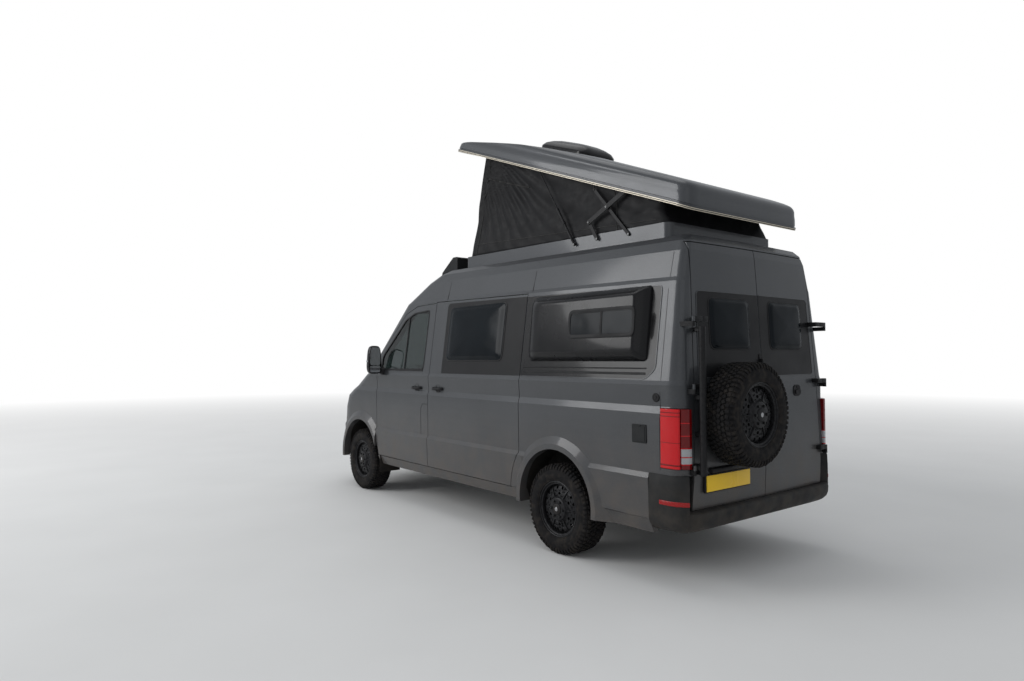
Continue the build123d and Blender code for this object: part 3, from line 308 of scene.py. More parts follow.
class Shape:
    """Collects vertices and faces of one piece."""

    def __init__(self):
        self.verts = []
        self.faces = []

    def take(self, verts, faces):
        base = len(self.verts)
        self.verts += [Vector(v) for v in verts]
        self.faces += [tuple(base + i for i in face) for face in faces]
        return self

    def block(self, lo, hi, radius=3):
        """A box with rounded edges between two corners."""
        a, b = P(*lo), P(*hi)
        bm = bmesh.new()
        bmesh.ops.create_cube(bm, size=1)
        for v in bm.verts:
            v.co = Vector([c * abs(q - p) + (p + q) / 2 for c, p, q in zip(v.co, a, b)])
        bmesh.ops.bevel(bm, geom=bm.edges[:], offset=radius * MM, segments=2, profile=0.5, affect="EDGES")
        bm.verts.index_update()
        self.take([v.co for v in bm.verts], [[v.index for v in f.verts] for f in bm.faces])
        bm.free()
        return self

    def rings(self, rings, caps=True, wrap=False):
        """Join closed rings of points, one after another."""
        n = len(rings[0])
        count = len(rings)
        faces = []
        for i in range(count if wrap else count - 1):
            a, b = i * n, (i + 1) % count * n
            faces += [(a + j, a + (j + 1) % n, b + (j + 1) % n, b + j) for j in range(n)]
        if caps and not wrap:
            faces += [range(n)[::-1], range((count - 1) * n, count * n)]
        return self.take([v for ring in rings for v in ring], faces)

    def tube(self, points, radius, sides=8):
        """A round tube along points, its radius in metres."""
        rings = []
        normal = None
        for before, point, after in zip([points[0], *points], points, [*points[1:], points[-1]]):
            along = (after - before).normalized()
            normal = normal or along.orthogonal().normalized()
            normal = (normal - along * normal.dot(along)).normalized()
            across = along.cross(normal)
            rings.append([point + (normal * c + across * s) * radius for c, s in circle(sides)])
        return self.rings(rings)

    def turned(self, profile, steps, place):
        """An outline of (radius, height) turned about the local Y axis."""
        return self.rings([[place @ (Vector((r * c, h, r * s)) * MM) for r, h in profile]
                           for c, s in circle(steps)], wrap=True)

    def clad(self, outline, surface, out, deep=3, step=120):
        """A thin panel laid on a surface inside an outline of two surface coordinates."""
        bm = bmesh.new()
        bm.faces.new([bm.verts.new((u, v, 0)) for u, v in outline])
        for axis in (0, 1):
            values = [point[axis] for point in outline]
            across = Vector((1 - axis, axis, 0))
            place = min(values) + step
            while place < max(values) - step * 0.3:
                geom = bm.verts[:] + bm.edges[:] + bm.faces[:]
                bmesh.ops.bisect_plane(bm, geom=geom, plane_co=across * place, plane_no=across)
                place += step
        bm.verts.index_update()
        n = len(bm.verts)
        verts = [surface(v.co.x, v.co.y, lift) for lift in (out, -deep) for v in bm.verts]
        faces = [[v.index for v in f.verts] for f in bm.faces]
        faces += [[n + i for i in reversed(face)] for face in faces]
        rim = [[v.index for v in e.verts] for e in bm.edges if len(e.link_faces) == 1]
        bm.free()
        return self.take(verts, faces + [(a, b, n + b, n + a) for a, b in rim])

    def stripe(self, path, width, surface, out, closed=False, deep=1.5, reach=90):
        """A narrow strip laid on a surface along a path."""
        points = [Vector(p) for p in (path + path[:1] if closed else path)]
        fine = points[:1]
        for a, b in zip(points, points[1:]):
            parts = max(1, int((b - a).length / reach))
            fine += [a.lerp(b, (k + 1) / parts) for k in range(parts)]
        start = fine[-2] if closed else fine[0]
        rings = []
        for before, point, after in zip([start, *fine], fine[:-1] if closed else fine, [*fine[1:], fine[-1]]):
            along = (after - before).normalized()
            across = Vector((-along.y, along.x)) * width / 2
            a, b = point + across, point - across
            rings.append([surface(*a, -deep), surface(*a, out), surface(*b, out), surface(*b, -deep)])
        return self.rings(rings, wrap=closed)

    def finish(self, name, material, body="van_body", soften=35, edge=0, steps=2, slot=None):
        """The piece, smooth below an angle, riding on a body, its edges rounded by a modifier."""
        mesh = bpy.data.meshes.new(name)
        mesh.from_pydata([tuple(v) for v in self.verts], [], self.faces)
        bm = bmesh.new()
        bm.from_mesh(mesh)
        bmesh.ops.remove_doubles(bm, verts=bm.verts, dist=MERGE_WITHIN)
        bmesh.ops.recalc_face_normals(bm, faces=bm.faces)
        for face in bm.faces:
            face.smooth = True
        for side in bm.edges:
            side.smooth = not (len(side.link_faces) == 2 and side.calc_face_angle(0) > radians(soften))
        bm.to_mesh(mesh)
        bm.free()
        mesh.materials.append(material)
        obj = put(name, mesh)
        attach(obj, body)
        slot or next(key for key, group in SLOTS.items() if material in group)
        if edge:
            bevel = obj.modifiers.new("Edges", "BEVEL")
            bevel.width = edge * MM
            bevel.segments = steps
            bevel.limit_method = "ANGLE"
            bevel.angle_limit = EDGE_ANGLE
        return obj


def rounded(points, radius, steps=6):
    """A closed outline with its corners rounded."""
    out = []
    count = len(points)
    radii = radius if isinstance(radius, tuple) else [radius] * count
    for i in range(count):
        here = Vector(points[i])
        before = Vector(points[i - 1]) - here
        after = Vector(points[(i + 1) % count]) - here
        r = min(radii[i], CORNER_SHARE * before.length, CORNER_SHARE * after.length)
        a, b = here + before.normalized() * r, here + after.normalized() * r
        for k in range(steps + 1):
            t = k / steps
            out.append(tuple(a * (1 - t) ** 2 + here * 2 * t * (1 - t) + b * t ** 2))
    return out


def oblong(u0, u1, v0, v1, radius, steps=6):
    return rounded([(u0, v0), (u1, v0), (u1, v1), (u0, v1)], radius, steps)


def patches(surface, rows, shape=None):
    """Thin plates on a surface: each row has its four sides, its corner radius and its height."""
    shape = shape or Shape()
    for *sides, radius, out in rows:
        shape.clad(oblong(*sides, radius), surface, out)
    return shape


# Repeats by Geometry Nodes
@cache
def repeat_nodes(material):
    """Copies a Piece Count times, each one Step further and Turn more about the origin."""
    tree = bpy.data.node_groups.new("repeated_pieces", "GeometryNodeTree")
    for name, kind in (("Piece", "Geometry"), ("Count", "Int"), ("Step", "Vector"), ("Turn", "Vector")):
        tree.interface.new_socket(name, in_out="INPUT", socket_type="NodeSocket" + kind)
    tree.interface.new_socket("Pieces", in_out="OUTPUT", socket_type="NodeSocketGeometry")
    nodes = {name: tree.nodes.new(kind) for name, kind in (
        ("start", "NodeGroupInput"), ("end", "NodeGroupOutput"), ("index", "GeometryNodeInputIndex"),
        ("shift", "ShaderNodeVectorMath"), ("turn", "ShaderNodeVectorMath"),
        ("angle", "FunctionNodeEulerToRotation"), ("points", "GeometryNodePoints"),
        ("copies", "GeometryNodeInstanceOnPoints"), ("real", "GeometryNodeRealizeInstances"),
        ("paint", "GeometryNodeSetMaterial"),
    )}
    nodes["shift"].operation = nodes["turn"].operation = "SCALE"
    nodes["paint"].inputs["Material"].default_value = material
    for source, output, target, socket in (
        ("start", "Step", "shift", 0), ("index", 0, "shift", "Scale"), ("start", "Turn", "turn", 0),
        ("index", 0, "turn", "Scale"), ("turn", 0, "angle", 0), ("start", "Count", "points", "Count"),
        ("shift", 0, "points", "Position"), ("points", 0, "copies", "Points"),
        ("start", "Piece", "copies", "Instance"), ("angle", 0, "copies", "Rotation"),
        ("copies", 0, "real", 0), ("real", 0, "paint", "Geometry"), ("paint", 0, "end", "Pieces"),
    ):
        tree.links.new(nodes[source].outputs[output], nodes[target].inputs[socket])
    return tree


def repeated(piece, material, count, place=Matrix.Identity(4), step=(0.0, 0.0, 0.0), turn=None):
    """A shape copied round the Y axis, or by a step, and then set in its place."""
    mesh = bpy.data.meshes.new("one_piece")
    mesh.from_pydata([tuple(v) for v in piece.verts], [], piece.faces)
    host = put("host", mesh)
    modifier = host.modifiers.new("Repeat", "NODES")
    modifier.node_group = repeat_nodes(material)
    values = {"Count": count, "Step": step, "Turn": turn or (0.0, tau / count, 0.0)}
    for item in modifier.node_group.interface.items_tree:
        if item.name in values:
            modifier[item.identifier] = values[item.name]
    copies = bpy.data.meshes.new_from_object(host.evaluated_get(bpy.context.evaluated_depsgraph_get()))
    bpy.data.objects.remove(host)
    return Shape().take([place @ v.co for v in copies.vertices], [f.vertices[:] for f in copies.polygons])


# Wheels
TYRE_RADIUS = 370
TYRE_HALF = 122.5
HALF_TRACK = 867
WHEELBASE = 3640
# name, body, centre, turn about Z that brings +Y to the outer face
WHEELS = [
    (end + side, "wheel_" + end + side, (x, sign * HALF_TRACK, TYRE_RADIUS), pi if sign < 0 else 0)
    for end, x in (("front_", 0), ("rear_", WHEELBASE)) for side, sign in SIDES
] + [("spare", "rear_door_left", (5200 - TYRE_HALF, -440, 1215), -pi / 2)]
TREAD_PITCHES = 30
TREAD_FOOT = TYRE_RADIUS - 17
# radius and height across the tyre, for one half from the bead to the crown
TYRE_HALF_PROFILE = [
    (228, 98), (231, 107), (237, 113), (243, 112), (248, 116), (258, 119), (270, 121), (276, 122),
    (279, 121), (296, 121.5), (304, 120.5), (306, 119), (322, 116), (338, 111), (350, 103), (357, 92),
    (359, 70), (359.5, 36), (360, 0),
]
# radius and height across the shoulder block that runs down the sidewall
SIDE_LUG = [(362, 98), (355, 112), (336, 120), (326, 120.5), (320, 113), (326, 112), (342, 106), (350, 96)]
# the rim grows from its first size to the width seen in the photograph
RIM_SPREAD = Matrix.Diagonal((1.10, 1, 1.10, 1))
BARREL = [
    (209, 100), (209, 105), (203, 107), (199, 105), (196, 96), (185, 92), (182, 84), (184, 62), (182, 40),
    (178, -60), (194, -96), (209, -100), (209, -94), (200, -88), (190, -60), (190, 40), (198, 80),
]
HUB = [(97, 72), (97, 84), (90, 90), (84, 104), (76, 108), (44, 108), (42, 106), (42, 66)]
CAP = [(43, 98), (43, 110), (40, 114), (30, 117), (16, 118.5), (0.4, 119), (0.4, 98)]
CAP_DISC = [(15, 116), (15, 119.6), (13.5, 120.4), (0.4, 120.6), (0.4, 116)]
DISC_ROWS = [(96, 84), (128, 80), (160, 74), (183, 60)]
DISC_THICK = 12
# inner and outer radius, count, half length and half width of the disc's holes
DISC_HOLES = [(134, 184, 18, 13, 11), (96, 134, 12, 11, 13)]
# radius, half width, height of the disc's ribs
RIB_ROWS = [(92, 9, 10), (120, 7, 9), (150, 6, 8), (181, 6, 3)]
# radius, height, half width, length, count
BOLTS = [(190.5, 92.5, 3.6, 3.2, 24), (62, 107, 10, 13, 6)]


def round_axle(r, across, t):
    """A point at radius r and angle t round the Y axis."""
    return Vector((r * cos(t), across, r * sin(t))) * MM


def lug(shape, angle, y, long, wide, skew, top, foot):
    """One tread block, standing on the tyre at an angle, with a slightly smaller top."""
    rings = []
    for radius, size in ((foot, 0.5), (top - 2.5, 0.47), (top, 0.42)):
        ring = []
        for a, b in ((-1, -1), (1, -1), (1, 1), (-1, 1)):
            a, b = a * long * size, b * wide * size
            x = a * cos(skew) - b * sin(skew)
            ring.append(round_axle(radius, a * sin(skew) + b * cos(skew) + y, angle + x / TYRE_RADIUS))
        rings.append(ring)
    shape.rings(rings)


def tread_pitch():
    """The blocks of one pitch of the tread: two rows in the middle, two between and the shoulders."""
    shape = Shape()
    pitch = tau / TREAD_PITCHES
    for base, reach, wide in ((0, 30, 18), (pitch / 2, 36, 24)):
        for side in (-1, 1):
            shift = pitch * 0.12 * side
            middle = base + shift * 0.5
            lug(shape, base + shift, side * 17, 29, 26, 0.45 * side, TYRE_RADIUS, TREAD_FOOT)
            lug(shape, base - shift, side * 48, 27, 27, -0.35 * side, TYRE_RADIUS, TREAD_FOOT)
            lug(shape, middle, side * (66 + reach / 2), 26, reach, 0.12 * side,
                TYRE_RADIUS - 1, TREAD_FOOT - 4)
            half = wide / 2 / TYRE_RADIUS
            ends = (middle - half, middle + half)
            shape.rings([[round_axle(r, side * y, t) for r, y in SIDE_LUG] for t in ends])
    return shape


def pierced_cell(r0, r1, span, hole_a, hole_b):
    """A patch of the rim's disc with one oval hole through it."""
    mid = (r0 + r1) / 2
    corners = ((r0, -0.5), (r1, -0.5), (r1, 0.5), (r0, 0.5))
    border = []
    for (r, a), (r_next, a_next) in zip(corners, corners[1:] + corners[:1]):
        border += [(r + (r_next - r) * t, span * (a + (a_next - a) * t)) for t in (0, 0.25, 0.5, 0.75)]
    angles = [atan2(a * mid, r - mid) for r, a in border]
    hole = [(mid + hole_a * cos(t), hole_b * sin(t) / mid) for t in angles]
    return Shape().rings([
        [round_axle(r, follow(DISC_ROWS, r) - drop, a) for r, a in outline]
        for outline, drop in ((border, 0), (hole, 0), (hole, DISC_THICK), (border, DISC_THICK))
    ], wrap=True)


def bolt_head(radius, height, half, tall):
    """A six-sided head on a low collar, pointing along Y."""
    rows = ((1.3, -4), (1.3, 0.8), (1.0, 1.0), (1.0, tall - 0.8), (0.82, tall))
    return Shape().rings([[Vector((radius + half * size * c, height + h, half * size * s)) * MM
                           for c, s in circle(6)] for size, h in rows])


def make_wheels():
    rib = Shape().rings([
        [Vector((r, follow(DISC_ROWS, r) + h, w)) * MM
         for w, h in ((-wide, -3), (-wide * 0.6, up), (wide * 0.6, up), (wide, -3))]
        for r, wide, up in RIB_ROWS
    ])
    holes = [(pierced_cell(r0, r1, tau / count, a, b), count) for r0, r1, count, a, b in DISC_HOLES]
    heads = [(bolt_head(*head), count) for *head, count in BOLTS]
    half = TYRE_HALF_PROFILE
    profile = half + [(r, -y) for r, y in half[-2::-1]] + [(229, -88), (229, 88)]
    for name, body, centre, turn in WHEELS:
        nodes = ("spare_tyre", "spare_rim") if name == "spare" else ("tyre_" + name, "rim_" + name)
        place = Matrix.Translation(P(*centre)) @ Matrix.Rotation(turn, 4, "Z")
        tyre = Shape().turned(profile, 96, place)
        add_repeats(tyre, RUBBER, place, (tread_pitch(), TREAD_PITCHES))
        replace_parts(tyre.finish("tyre_%s_treaded" % name, RUBBER, body, 40), nodes[0])
        place = place @ RIM_SPREAD
        rim = Shape().turned(BARREL, 72, place)
        add_repeats(rim, RIM, place, *holes)
        rim.turned(HUB, 48, place)
        add_repeats(rim, RIM, place, (rib, 6))
        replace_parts(rim.finish("rim_%s_pierced" % name, RIM, body, 38), nodes[1])
        bolts = add_repeats(Shape(), STEEL, place, *heads)
        bolts.finish("rim_%s_bolts" % name, RACK, body, 30)
        Shape().turned(CAP, 40, place).finish("rim_%s_cap" % name, TRIM, body, 40)
        Shape().turned(CAP_DISC, 28, place).finish("rim_%s_cap_disc" % name, STEEL, body, 40)


def add_repeats(shape, material, place, *groups):
    """Add rings of (piece, count) to a shape."""
    for piece, count in groups:
        copies = repeated(piece, material, count, place)
        shape.take(copies.verts, copies.faces)
    return shape


# Windows and pods
SIDE_WINDOW = (1892, 2865, 1588, 2150)
REAR_WINDOW = (125, 625, 1672, 2058)
POD = (3250, 4600, 1590, 2150)
POD_WINDOW = (3845, 4550, 1770, 2000)
POD_FACE_LOW = 1046
POD_FACE_HIGH = 1000
PANE_SPLIT = 0.52
PANE_INSET = 20
# share of the pod's rise, inset from its front, rear and level edges
POD_ROWS = [
    (-0.06, 0, 0, 0), (0.03, 2, 1, 1), (0.20, 16, 9, 7), (0.45, 42, 24, 20), (0.70, 80, 44, 40),
    (0.88, 120, 58, 56), (0.97, 165, 68, 68), (1.0, 215, 82, 82),
]


def window_frame(name, rect, radius, surface, width, lift, body="van_body"):
    u0, u1, v0, v1 = rect
    rings = []
    for inset, out in ((0, -4), (0, lift * 0.7), (width / 2, lift), (width, lift * 0.8), (width, -4)):
        outline = oblong(u0 + inset, u1 - inset, v0 + inset, v1 - inset, radius - inset * 0.6, 8)
        rings.append([surface(u, v, out) for u, v in outline])
    Shape().rings(rings, wrap=True).finish(name, TRIM, body, 50, 1.5)


def acrylic_pane(name, rect, radius, surface, crown, body="van_body"):
    """A crowned pane; each row is its share of the outline's size and its lift."""
    u0, u1, v0, v1 = rect
    cu, cv = (u0 + u1) / 2, (v0 + v1) / 2
    outline = oblong(u0 + 10, u1 - 10, v0 + 10, v1 - 10, radius - 8, 8)
    rows = [(1.0, 1), (0.995, 6), (0.985, 9), (0.95, 9.5), (0.925, 11), (0.90, 16)]
    shares = [1 - k / 9.6 for k in range(1, 10)]
    rows += [(0.90 * share, 16 + crown * (1 - share ** 2.2)) for share in shares]
    rows.append((0, rows[-1][1] + 0.4))
    rings = [
        [surface(cu + (u - cu) * share, cv + (v - cv) * share, lift) for u, v in outline]
        for share, lift in rows
    ]
    return Shape().rings(rings).finish(name, ACRYLIC, body, 60)


def make_windows():
    for side, sign in SIDES:
        wall = side_wall(sign)
        pane = acrylic_pane("side_window_pane_" + side, SIDE_WINDOW, 75, wall, 16)
        if sign < 0:
            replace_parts(pane, "side_windows")
        window_frame("side_window_frame_" + side, SIDE_WINDOW, 75, wall, 13, 7)
        rect = (*sorted(sign * y for y in REAR_WINDOW[:2]), *REAR_WINDOW[2:])
        body = "rear_door_" + side
        pane = acrylic_pane("rear_window_pane_" + side, rect, 60, tail_face, 9, body)
        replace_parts(pane, "rear_window_" + side)
        window_frame("rear_window_frame_" + side, rect, 60, tail_face, 12, 6, body)


def make_pods():
    x0, x1, z0, z1 = POD
    u0, u1, v0, v1 = POD_WINDOW
    split = u0 + (u1 - u0) * PANE_SPLIT
    low, high = v0 + PANE_INSET, v1 - PANE_INSET
    for side, sign in SIDES:
        wall = side_wall(sign)

        def face(x, z, out):
            """The pod's outer face as a surface of x and z."""
            share = (z - z0) / (z1 - z0)
            return P(x, sign * (POD_FACE_LOW + (POD_FACE_HIGH - POD_FACE_LOW) * share + out), z)

        rings = [
            [wall(x, z, 0).lerp(face(x, z, 0), rise) for x, z in
             oblong(x0 + front, x1 - rear, z0 + level, z1 - level, (70, 34, 34, 70), 8)]
            for rise, front, rear, level in POD_ROWS
        ]
        shell = Shape().rings(rings).finish("side_pod_" + side, GLOSS, soften=32)
        window_frame("pod_window_frame_" + side, POD_WINDOW, 60, face, 24, 9)
        panes = patches(face, [
            (u0 + PANE_INSET, split + 12, low, high, 34, 2.5),
            (split - 12, u1 - PANE_INSET, low, high, 34, 5.5),
        ]).finish("pod_window_panes_" + side, ACRYLIC, soften=40)
        patches(face, [
            (split - 11, split + 11, low, high, 3, 9), (u0 + 22, u1 - 22, low, low + 11, 3, 7),
            (u0 + 22, u1 - 22, high - 11, high, 3, 7),
        ]).finish("pod_window_bars_" + side, TRIM, edge=1)
        if sign < 0:
            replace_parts(panes, "pod_windows")
            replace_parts(shell, "side_pods")


# Dark panels, seams and small fittings
BELT = 1462
DARK_FRONT = 1836
RIM_FRONT = 3180
SEAM_RISE = 290


def side_panel_top(x, gap):
    return (x, roof_side_z(x) - gap)


def make_dark_panels():
    front = (DARK_FRONT, roof_side_z(2400) - 20)
    for name, sign, rear, radius in (("sliding_door", -1, 3146, 4), ("right_side", 1, 3150, 10)):
        outline = [(DARK_FRONT, BELT), (rear, BELT), side_panel_top(rear, 26), front]
        panel = Shape().clad(rounded(outline, (10, radius, radius, 46)), side_wall(sign), 1.6)
        panel.finish(name + "_dark_panel", FILM, edge=1.2)
    for side, sign in SIDES:
        wall = side_wall(sign)
        outline = [(3157, BELT), (4594, BELT), (4684, 1536)] + [side_panel_top(x, 28) for x in (4684, 3157)]
        outline = rounded(outline, (14, 40, 40, 34, 14))
        Shape().clad(outline, wall, 2.0).finish("rear_quarter_panel_" + side, GLOSS, edge=1.4)
        rim = [(RIM_FRONT, BELT)] + [point for point in outline if point[0] > RIM_FRONT]
        rim.append(side_panel_top(RIM_FRONT, 28))
        Shape().stripe(rim, 7, wall, 4.5).finish("rear_quarter_rim_" + side, PAINT, edge=1)
        rails = patches(wall, [(3190, 4596, 1494, 1512, 6, 5), (3190, 4600, 1536, 1546, 4, 7)])
        rails.finish("slide_rail_" + side, TRIM, edge=1.5)
        outline = [(sign * 7, 1472), (sign * 768, 1472), (sign * 742, 2096), (sign * 7, 2096)]
        radii = (6, 34, 40, 6)
        if sign < 0:
            outline = [outline[k] for k in (1, 0, 3, 2)]
            radii = (34, 6, 6, 40)
        outline = rounded(outline, radii)
        body = "rear_door_" + side
        Shape().clad(outline, tail_face, 1.8).finish("rear_door_dark_panel_" + side, FILM, body, edge=1.3)
        rim = [point for point in outline if abs(point[0]) > 40]
        rim.sort(key=lambda p: atan2(p[1] - 1784, abs(p[0]) - 300))
        lip = Shape().stripe([(sign * 20, 1472)] + rim + [(sign * 20, 2096)], 6, tail_face, 4.0)
        lip.finish("rear_door_panel_rim_" + side, PAINT, body, edge=1)


def make_side_fittings():
    left = side_wall(-1)
    for side, sign in SIDES:
        seams = Shape()
        roof = [(x, roof_side_z(x) + 8, roof_side_z(x) + SEAM_RISE, 5) for x in (1800, 3205)]
        for x, low, high, width in roof + [(4740, 830, 2470, 4), (3214, 560, 760, 4)]:
            seams.stripe([(x, low), (x, high)], width, side_wall(sign), 0.6)
        seams.finish("panel_seams_" + side, TRIM)
    flap = [(1452, 800), (1452, 1076), (1490, 1130), (1592, 1130)]
    Shape().stripe(flap, 7, left, 0.8, reach=30).finish("fuel_flap_gap", TRIM, "cab_door_left")
    place = Matrix.Translation(left(4703, 1337, 0)) @ Matrix.Rotation(pi, 4, "Z")
    cap = [(0.4, -2), (32, -2), (32, 4), (29, 7), (22, 7.5), (20, 5), (12, 5), (10, 9), (0.4, 9.5)]
    Shape().turned(cap, 36, place).finish("mains_inlet_cap", TRIM)
    patches(left, [
        (4488, 4622, 1005, 1138, 10, 7), (4500, 4610, 1016, 1126, 8, 10), (4536, 4574, 1124, 1134, 3, 13),
    ]).finish("service_hatch", PLASTIC, edge=2)
    flaps = Shape()
    for sign in (-1, 1):
        flaps.block((490, sign * 985, 270), (498, sign * 720, 470))
    flaps.finish("mud_flaps", CHASSIS)


# Handles, mirrors and cab windows
HANDLE_WELL = [(0.4, -1), (46, -1), (46, 2.5), (42, 4), (38, 1.5), (20, 0.8), (0.4, 0.6)]
HINGE_HEIGHTS = (843, 1400, 1870)
# the rear door's outer edge at its foot, and its lean
DOOR_EDGE = 858
DOOR_FOOT = 526
DOOR_LEAN = 0.0488
# place along the grip, height over the panel, half width, thickness
GRIP_ROWS = [
    (-98, 3, 10, 3), (-92, 12, 13, 9), (-70, 26, 14, 11), (-20, 34, 14, 11), (40, 34, 14, 11),
    (74, 26, 15, 11), (92, 12, 15, 10), (98, 3, 10, 3),
]
# x, z corners of the cab window
CAB_WINDOW = [(505, 1492), (1468, 1498), (1469, 2140), (1150, 2124), (960, 2052), (505, 1640)]
MIRROR_Y = 1090
MIRROR_Z = 1603
# x, shift inwards, height share and width share of the mirror's housing
MIRROR_ROWS = [
    (452, 26, 0.34, 0.30), (456, 22, 0.52, 0.50), (470, 14, 0.74, 0.72), (492, 7, 0.90, 0.88),
    (520, 2, 0.98, 0.97), (548, 0, 1.0, 1.0), (572, 0, 0.99, 0.985), (582, 0, 0.97, 0.95),
    (583, 0, 0.93, 0.88), (577, 0, 0.92, 0.87),
]


def side_handle(name, x, z, body, sign):
    """A pull handle with a round finger well behind it."""
    wall = side_wall(sign)
    place = Matrix.Translation(wall(x, z, 0)) @ Matrix.Rotation(pi if sign < 0 else 0, 4, "Z")
    Shape().turned(HANDLE_WELL, 36, place).finish(name + "_well", TRIM, body)
    grip = Shape().rings([
        [wall(x + along, z, out) + Vector((0, sign * thick * s * 0.7, wide * c)) * MM for c, s in circle(10)]
        for along, out, wide, thick in GRIP_ROWS
    ])
    for end in (-86, 80):
        centre = wall(x + end, z, 6)
        grip.rings([
            [centre + Vector((18 * c, sign * h, 17 * s)) * MM for c, s in circle(14)] for h in (-8, 4, 8)
        ])
    grip.finish(name, TRIM, body, 50, 1)


def make_handles():
    side_handle("sliding_door_handle", 1790, 1300, "van_body", -1)
    patches(tail_face, [
        (440, 548, 1300, 1392, 42, 6), (456, 532, 1318, 1352, 12, 18), (484, 504, 1366, 1384, 9, 10),
    ]).finish("rear_door_handle", TRIM, "rear_door_right", edge=2)
    for side, sign in SIDES:
        side_handle("cab_door_handle_" + side, 1361, 1297, "cab_door_" + side, sign)
        covers = Shape()
        for z in HINGE_HEIGHTS:
            edge = DOOR_EDGE - DOOR_LEAN * (z - DOOR_FOOT)
            covers.block((4847, sign * (edge - 61), z + 0.6), (4967, sign * (edge + 1), z + 36), 2)
            covers.block((4940, sign * (edge - 2), z + 0.6), (4967, sign * 884, z + 36), 2)
        covers.finish("rear_hinge_covers_" + side, RACK, "rear_door_" + side, slot="chassis")
    latch = Shape().block((4912, -30, 1572), (4948, -6, 1606), 6)
    patches(tail_face, [(-34, -5, 1600, 1640, 6, 8)], latch)
    latch.finish("rear_door_latch", TRIM, "rear_door_left", edge=1)


def mirror_outline(sign, x, shift, tall, wide):
    """A rounded upright oblong with a straighter inner side."""
    ring = []
    for c, s in circle(40):
        c, s = copysign(abs(c) ** 0.5, c), copysign(abs(s) ** 0.5, s)
        ring.append(P(x, sign * (MIRROR_Y - shift + (82 * wide - 10 * s) * c), MIRROR_Z + 166 * tall * s))
    return ring


def make_cab_sides():
    for side, sign in SIDES:
        body = "cab_door_" + side
        wall = side_wall(sign)
        seal = Shape().stripe(rounded(CAB_WINDOW, 40), 16, wall, 2.2, closed=True, deep=8, reach=60)
        seal.stripe([(1046, 1500), (1046, 2078)], 22, wall, 1.5, deep=6)
        patches(wall, [(520, 1462, 1478, 1500, 6, 5)], seal)
        seal.finish("cab_window_seal_" + side, TRIM, body, 50, 1)
        housing = Shape().rings([mirror_outline(sign, *row) for row in MIRROR_ROWS])
        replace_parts(housing.finish("mirror_housing_" + side, GLOSS, body, 40), "mirror_" + side)
        feet = ((950, 470, 590, 1432, 1506), (985, 474, 584, 1438, 1500), (1030, 490, 566, 1448, 1494))
        foot = Shape().rings([[P(x, sign * y, z) for x, z in oblong(*rect, 20, 4)] for y, *rect in feet])
        foot.finish("mirror_foot_" + side, TRIM, body, 40)
        glass = Shape()
        for low, high in ((-60, 146), (-146, -68)):
            plan = oblong(MIRROR_Y - 64, MIRROR_Y + 66, MIRROR_Z + low, MIRROR_Z + high, 24, 5)
            glass.rings([[P(x, sign * y, z) for y, z in plan] for x in (574, 580)])
        glass.finish("mirror_glass_" + side, MIRROR, body)
        plan = ((478, 68), (520, 80), (552, 84), (552, 74), (478, 60))
        lamp = Shape().rings([
            [P(x, sign * (MIRROR_Y + y), MIRROR_Z + z) for x, y in plan] for z in (-28, -8)
        ])
        lamp.finish("mirror_repeater_" + side, LAMP_CLEAR, body, edge=2)


# Tail lamps, rear bumper, number plate
LAMP_LOW = 850
LAMP_HIGH = 1263
# x, y of the lamp's side and rear fields
SIDE_FIELD = [(4747, 950), (4747, 993), (4800, 995), (4870, 990), (4894, 978), (4900, 965), (4880, 945)]
REAR_FIELD = [(4882, 944), (4902, 960), (4912, 953), (4937, 921), (4940, 912), (4940, 888), (4900, 888)]
LAMP_LINES = [(871, 881), (1028, 1032), (1209, 1215), (1235, 1241)]
LAMP_BARS = [(z - 3, z + 3) for z in (884, 934, 994, 1080, 1168)]
# name, plan, how far it stands out, heights, finish, rounding, its steps
LAMP_PARTS = [
    ("tail_lamp_lens_", SIDE_FIELD, 0, [(LAMP_LOW, LAMP_HIGH)], LAMP_RED, 5, 3),
    ("tail_lamp_lines_", SIDE_FIELD, 0.8, LAMP_LINES, LAMP_DEEP, 0, 0),
    ("tail_lamp_rear_", REAR_FIELD, 0, [(996, LAMP_HIGH), (LAMP_LOW, 882)], LAMP_DEEP, 4, 3),
    ("reversing_lamp_", REAR_FIELD, 0, [(886, 932), (936, 992)], LAMP_CLEAR, 4, 3),
    ("tail_lamp_bars_", REAR_FIELD, 1.5, LAMP_BARS, LAMP_RED, 0, 0),
]
# x, y of the bumper seen from above, for one side from its front end to the middle of the tail
BUMPER_PLAN = [
    (4640, 1000), (4740, 1001), (4830, 998), (4880, 985), (4918, 962), (4948, 930), (4970, 892), (4982, 840),
    (4988, 700), (4989, 350), (4990, 0),
]
BUMPER_BACK = 4893
STEP_RIBS = 34
RIB_PITCH = 0.05
# z, how far the face stands back there, for the tail and for the corners
BUMPER_FACE = [(560, 34), (553, 12), (545, 3), (530, 0), (486, 3), (452, 16), (424, 44), (410, 70)]
CORNER_FACE = [(806, 40), (803, 10), (790, 3), (700, 0), (600, 0), (486, 3), (452, 14), (424, 38), (408, 66)]


def bumper_points(k, sign, face):
    """Points of the bumper's face, moved back square to its plan."""
    x, y = BUMPER_PLAN[k]
    before = Vector(BUMPER_PLAN[max(0, k - 1)])
    along = (Vector(BUMPER_PLAN[min(len(BUMPER_PLAN) - 1, k + 1)]) - before).normalized()
    return [P(x + along.y * back, sign * (y - along.x * back), z) for z, back in face]


